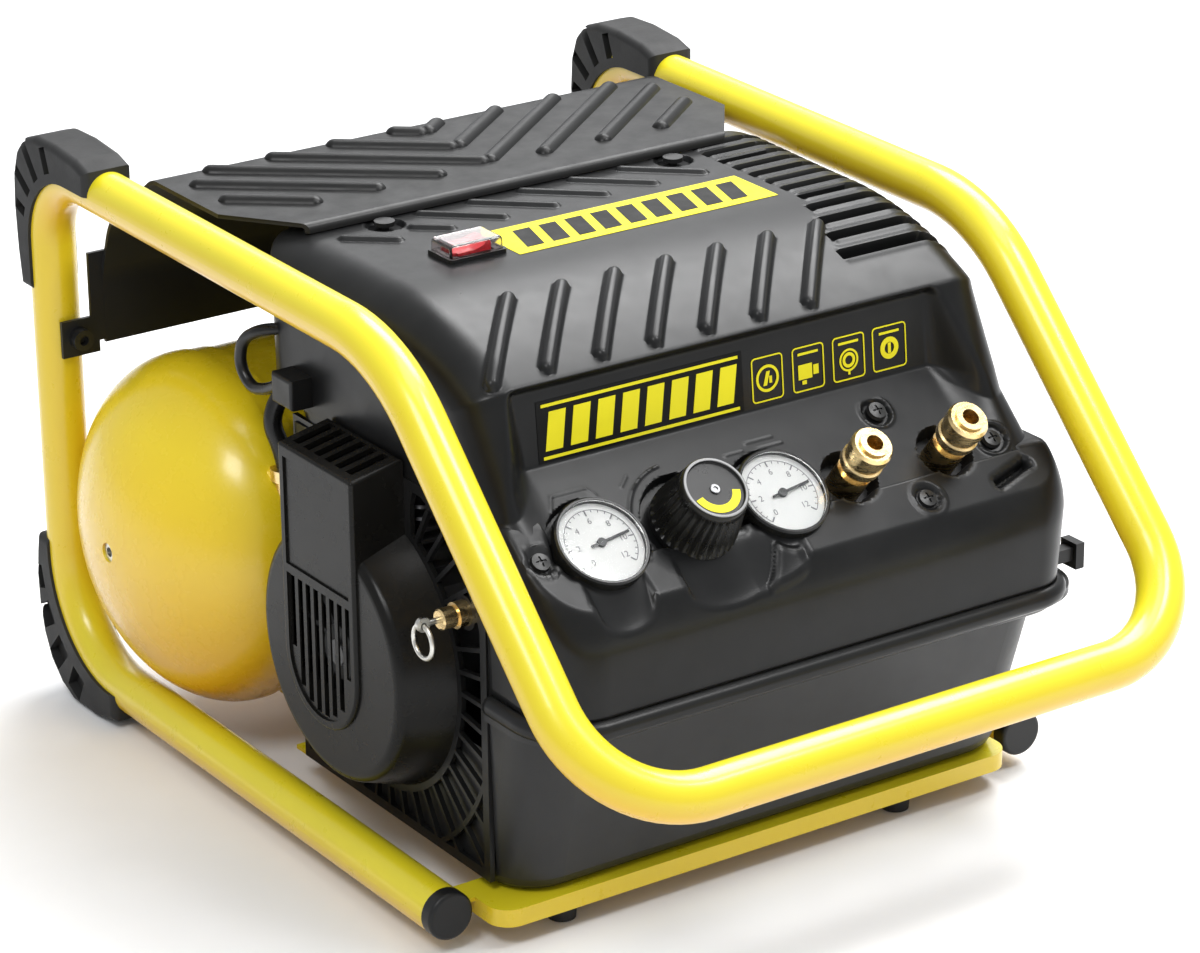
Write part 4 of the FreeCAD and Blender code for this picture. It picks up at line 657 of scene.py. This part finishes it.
pts, fcs = bumper()
bump = add_mesh("upper_housing_bumper", pts, fcs, "housing", smooth=50.0)
thick = bump.modifiers.new("wall", "SOLIDIFY")
thick.thickness = 0.0022
thick.offset = 1.0


# ---- printed marks ------------------------------------------------------------------------
def box2(x0, x1, y0, y1, lean=0.0):
    """A four-sided patch; lean shifts its upper side along x."""
    return [[(x0, y0), (x1, y0), (x1 + lean, y1), (x0 + lean, y1)]]


def ring2(cx, cy, r0, r1, start=0.0, end=360.0, count=32):
    patches = []
    angles = np.radians(np.linspace(start, end, count + 1))
    for a, b in zip(angles, angles[1:]):
        patches.append([(cx + r0 * math.cos(a), cy + r0 * math.sin(a)),
                        (cx + r1 * math.cos(a), cy + r1 * math.sin(a)),
                        (cx + r1 * math.cos(b), cy + r1 * math.sin(b)),
                        (cx + r0 * math.cos(b), cy + r0 * math.sin(b))])
    return patches


def frame2(x0, x1, y0, y1, radius, width):
    """A thin rounded frame."""
    outer, inner = [], []
    for cx, cy, start in ((x1 - radius, y1 - radius, 0), (x0 + radius, y1 - radius, 90),
                          (x0 + radius, y0 + radius, 180), (x1 - radius, y0 + radius, 270)):
        for a in np.radians(np.linspace(start, start + 90, 6)):
            outer.append((cx + radius * math.cos(a), cy + radius * math.sin(a)))
            inner.append((cx + (radius - width) * math.cos(a), cy + (radius - width) * math.sin(a)))
    count = len(outer)
    return [[inner[i], outer[i], outer[(i + 1) % count], inner[(i + 1) % count]] for i in range(count)]


def decal(name, patches, place, material, thickness=0.25):
    """Flat print: patches in two dimensions, put on a surface by place(u, v)."""
    bm = bmesh.new()
    for patch in patches:
        corners = [bm.verts.new(tuple(metres(place(u, v)))) for u, v in patch]
        bm.faces.new(corners)
    bmesh.ops.remove_doubles(bm, verts=bm.verts[:], dist=0.00001)
    bm.verts.index_update()
    points = [v.co[:] for v in bm.verts]
    faces = [[v.index for v in f.verts] for f in bm.faces]
    bm.free()
    obj = add_mesh(name, points, faces, material, smooth=0, move=False)
    solid = obj.modifiers.new("thickness", "SOLIDIFY")
    solid.thickness = thickness / 1000.0
    solid.offset = 0.0
    return obj


def on_label(lift):
    def place(x, z):
        return (x, -406.6 - 3.9 * (282.6 - z) / 43.1 - lift, z)
    return place


def on_top(lift):
    def place(x, y):
        return (x, y, TOP_Z + lift)
    return place


def on_panel(x0, lift):
    """Patches round an instrument: u along x, v up the panel's slope."""
    def place(u, v):
        at = PANEL_TOP + PANEL_DOWN * (ROW_DOWN - v) + PANEL_OUT * lift
        return (x0 + u, at[0], at[1])
    return place


decal("label_field", box2(-124, 12, 240.6, 275.2), on_label(0.25), "decal_dark")
band = box2(-121, 9, 271.6, 273.3) + box2(-121, 9, 242.3, 244.0)
for k in range(8):
    band += box2(-119.5 + 16.2 * k, -108.5 + 16.2 * k, 247.0, 268.6, 3.4)
decal("label_band", band, on_label(0.62), "decal")
SIGNS = ((18, 39.5), (46, 68), (74, 96.5), (102, 126))
for k, (x0, x1) in enumerate(SIGNS):
    cx = (x0 + x1) / 2
    sign = frame2(x0, x1, 243, 269, 2.6, 0.8)
    heading = box2(cx - 7, cx + 7, 264, 265.4)
    if k == 0:
        sign += ring2(cx, 256, 6.2, 7.8)
        sign += box2(cx - 3.0, cx - 0.6, 252, 260, 2.4)
        sign += box2(cx + 1.2, cx + 3.0, 253, 257)
    elif k == 1:
        sign += box2(cx - 7, cx + 2.5, 250, 258.5)
        sign += box2(cx + 3.4, cx + 7, 251.5, 257)
        sign += heading
        sign += box2(cx - 4.5, cx - 1.5, 247, 249.2)
    elif k == 2:
        sign += ring2(cx, 254.5, 2.6, 4.4)
        sign += ring2(cx, 254.5, 5.4, 6.6)
        sign += heading
        sign += box2(cx - 0.7, cx + 0.7, 246, 248)
    else:
        sign += ring2(cx, 255.5, 3.4, 6.4)
        sign += heading
        sign += box2(cx - 1.0, cx + 1.0, 252.5, 258.5)
    decal("label_sign_%d" % (k + 1), sign, on_label(0.45), "decal", 0.2)
decal("top_strip", box2(-66, 112, -306, -263), on_top(0.12), "decal")
strip_bars = []
for k in range(9):
    strip_bars += box2(-56 + 17.6 * k, -44.5 + 17.6 * k, -298.5, -270.5, 8.0)
decal("top_strip_bars", strip_bars, on_top(0.3), "decal_dark", 0.2)


# ---- gauges -------------------------------------------------------------------------------
DIAL_LIFT = 2.98
SCALE_R = 20.9
NUMERAL_R = 14.2
for name, gx in (("tank_gauge", GAUGE_X[0]), ("outlet_gauge", GAUGE_X[1])):
    scale = ring2(0, 0, SCALE_R, SCALE_R + 0.4, -45, 225, 60)
    for k in range(25):
        a = math.radians(225 - 270 * k / 24)
        r0 = 17.6 if k % 4 == 0 else 19.4
        w = 0.42 if k % 4 == 0 else 0.22
        c, s = math.cos(a), math.sin(a)
        scale.append([(c * r + s * side, s * r - c * side)
                      for r, side in ((r0, w), (SCALE_R, w), (SCALE_R, -w), (r0, -w))])
    decal(name + "_scale", scale, on_panel(gx, DIAL_LIFT), "tick", 0.08)
    for k in range(7):
        a = math.radians(225 - 270 * k / 6)
        text = bpy.data.curves.new("numeral", "FONT")
        text.body = str(2 * k)
        text.size = 0.0052
        text.align_x = "CENTER"
        text.align_y = "CENTER"
        text.resolution_u = 3
        holder = bpy.data.objects.new("numeral", text)
        bpy.context.scene.collection.objects.link(holder)
        bpy.context.view_layer.update()
        flat = bpy.data.meshes.new_from_object(holder.evaluated_get(bpy.context.evaluated_depsgraph_get()))
        bpy.data.objects.remove(holder)
        place = on_panel(gx, DIAL_LIFT)
        u0, v0 = NUMERAL_R * math.cos(a), NUMERAL_R * math.sin(a)
        points = [place(u0 + v.co.x * 1000, v0 + v.co.y * 1000) for v in flat.vertices]
        faces = [list(f.vertices) for f in flat.polygons]
        bpy.data.meshes.remove(flat)
        add_mesh(name + "_numeral_%d" % k, points, faces, "tick", smooth=0)


# ---- regulator knob -----------------------------------------------------------------------
RIBS = 30


def turned_on_panel(name, x0, rows, material, body, replaces=(), ribs=None, smooth=35.0,
                    count=180, ring=False):
    """Turn (height, radius) rows about the panel's normal; ribs says how deep each row is fluted.

    The two ends are closed by flat faces, or joined to each other for a ring."""
    points, faces = [], []
    for i, (h, r) in enumerate(rows):
        for j in range(count):
            a = 2 * math.pi * j / count
            wave = (ribs[i] if ribs else 0.0) * (0.5 + 0.5 * math.cos(RIBS * a)) ** 0.6
            radius = r - wave
            at = PANEL_TOP + PANEL_DOWN * (ROW_DOWN + radius * math.sin(a)) + PANEL_OUT * h
            points.append((x0 + radius * math.cos(a), at[0], at[1]))
    faces = grid_faces(len(rows), count, closed_cols=True)
    start, end = list(range(count)), list(range((len(rows) - 1) * count, len(rows) * count))
    if ring:
        for j in range(count):
            k = (j + 1) % count
            faces.append([end[j], end[k], start[k], start[j]])
    else:
        faces.append(start[::-1])
        faces.append(end)
    return add_mesh(name, points, faces, material, body=body, replaces=replaces, smooth=smooth)


rows = [(3.4, 18.2), (-2.6, 18.2), (-3.0, 18.8), (-3.0, 24.4), (-2.4, 25.2), (1.0, 25.3), (2.2, 25.2),
        (10.0, 24.1), (18.0, 22.3), (25.0, 20.8), (28.5, 20.1), (29.5, 19.9), (31.2, 19.7), (32.8, 19.4),
        (33.6, 18.8), (33.9, 17.9), (33.5, 17.2), (32.2, 17.0), (31.8, 16.6)]
flutes = [0, 0, 0, 0, 0, 0, 1.7, 1.8, 1.7, 1.5, 1.3, 0, 0, 0, 0, 0, 0, 0, 0]
turned_on_panel("regulator_knob_grip", KNOB_X, rows, "knob", "knob", replaces=("regulator_knob",),
                ribs=flutes, smooth=45.0)
turned_on_panel("regulator_knob_ring", KNOB_X, [(33.2, 17.15), (33.95, 17.25), (34.0, 17.9), (33.9, 18.5),
                                                (33.4, 18.9)], "ring", "knob", ring=True)
turned_on_panel("regulator_knob_screw", KNOB_X, [(31.7, 3.0), (32.6, 3.0), (32.9, 2.6), (32.9, 1.4),
                                                 (32.2, 1.3)], "steel", "knob", count=36)
knob_arc = decal("regulator_knob_arc", ring2(0, 0, 10.0, 14.8, 195, 345, 40),
                 on_panel(KNOB_X, 31.95), "decal")
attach(knob_arc, "knob")


# ---- camera, light and floor --------------------------------------------------------------
def soft_light(name, at, target, size, power, colour=(1, 1, 1)):
    data = bpy.data.lights.new(name, "AREA")
    data.shape = "RECTANGLE"
    data.size, data.size_y = size
    data.energy = power
    data.color = colour
    obj = bpy.data.objects.new(name, data)
    obj.location = at
    obj.rotation_euler = (Vector(target) - Vector(at)).to_track_quat("-Z", "Y").to_euler()
    bpy.context.scene.collection.objects.link(obj)
    return obj


def add_camera():
    azimuth, elevation, roll = (math.radians(a) for a in (-34.1145, 22.1459, -0.5613))
    back = Vector((math.sin(azimuth) * math.cos(elevation), -math.cos(azimuth) * math.cos(elevation),
                   math.sin(elevation)))
    side = Vector((0, 0, 1)).cross(back).normalized()
    up = back.cross(side)
    right = side * math.cos(roll) + up * math.sin(roll)
    above = -side * math.sin(roll) + up * math.cos(roll)
    data = bpy.data.cameras.new("camera")
    data.sensor_width = 36.0
    data.lens = 131.17
    data.clip_end = 50.0
    camera = bpy.data.objects.new("camera", data)
    turn = Matrix((right, above, back)).transposed().to_4x4()
    camera.matrix_world = Matrix.Translation(Vector(metres([-1317.8, -2230.9, 1119.3]))) @ turn
    bpy.context.scene.collection.objects.link(camera)
    bpy.context.scene.camera = camera


def add_floor():
    size = 6.0
    mesh = bpy.data.meshes.new("floor")
    corners = [(-size, -size, 0), (size, -size, 0), (size, size, 0), (-size, size, 0)]
    mesh.from_pydata(corners, [], [(0, 1, 2, 3)])
    floor = bpy.data.objects.new("floor", mesh)
    floor.location.z = -0.0005
    mesh.materials.append(new_material("pale_floor", (0.86, 0.86, 0.86), 0.6, tint=0.01, bump=0.02,
                                       bump_scale=40.0))
    bpy.context.scene.collection.objects.link(floor)


add_camera()
add_floor()
world = bpy.data.worlds.new("studio")
world.use_nodes = True
world.node_tree.nodes["Background"].inputs["Color"].default_value = (0.95, 0.97, 1.0, 1.0)
world.node_tree.nodes["Background"].inputs["Strength"].default_value = 0.63
bpy.context.scene.world = world
soft_light("key", (-1.4, -0.9, 2.1), (0, 0, 0.15), (0.7, 0.7), 21.0)
soft_light("top", (0.2, -0.3, 2.3), (0, 0, 0.1), (1.4, 0.7), 14.0)
soft_light("brow", (1.1, 0.65, 2.0), (0, 0, 0.25), (1.7, 1.0), 62.0)
soft_light("panel", (0.74, -0.86, 1.95), (0, 0, 0.2), (0.6, 0.5), 20.0)
soft_light("back", (1.2, 2.2, 1.3), (0, 0, 0.2), (1.6, 0.4), 5.0)
bpy.context.scene.view_settings.view_transform = "Standard"
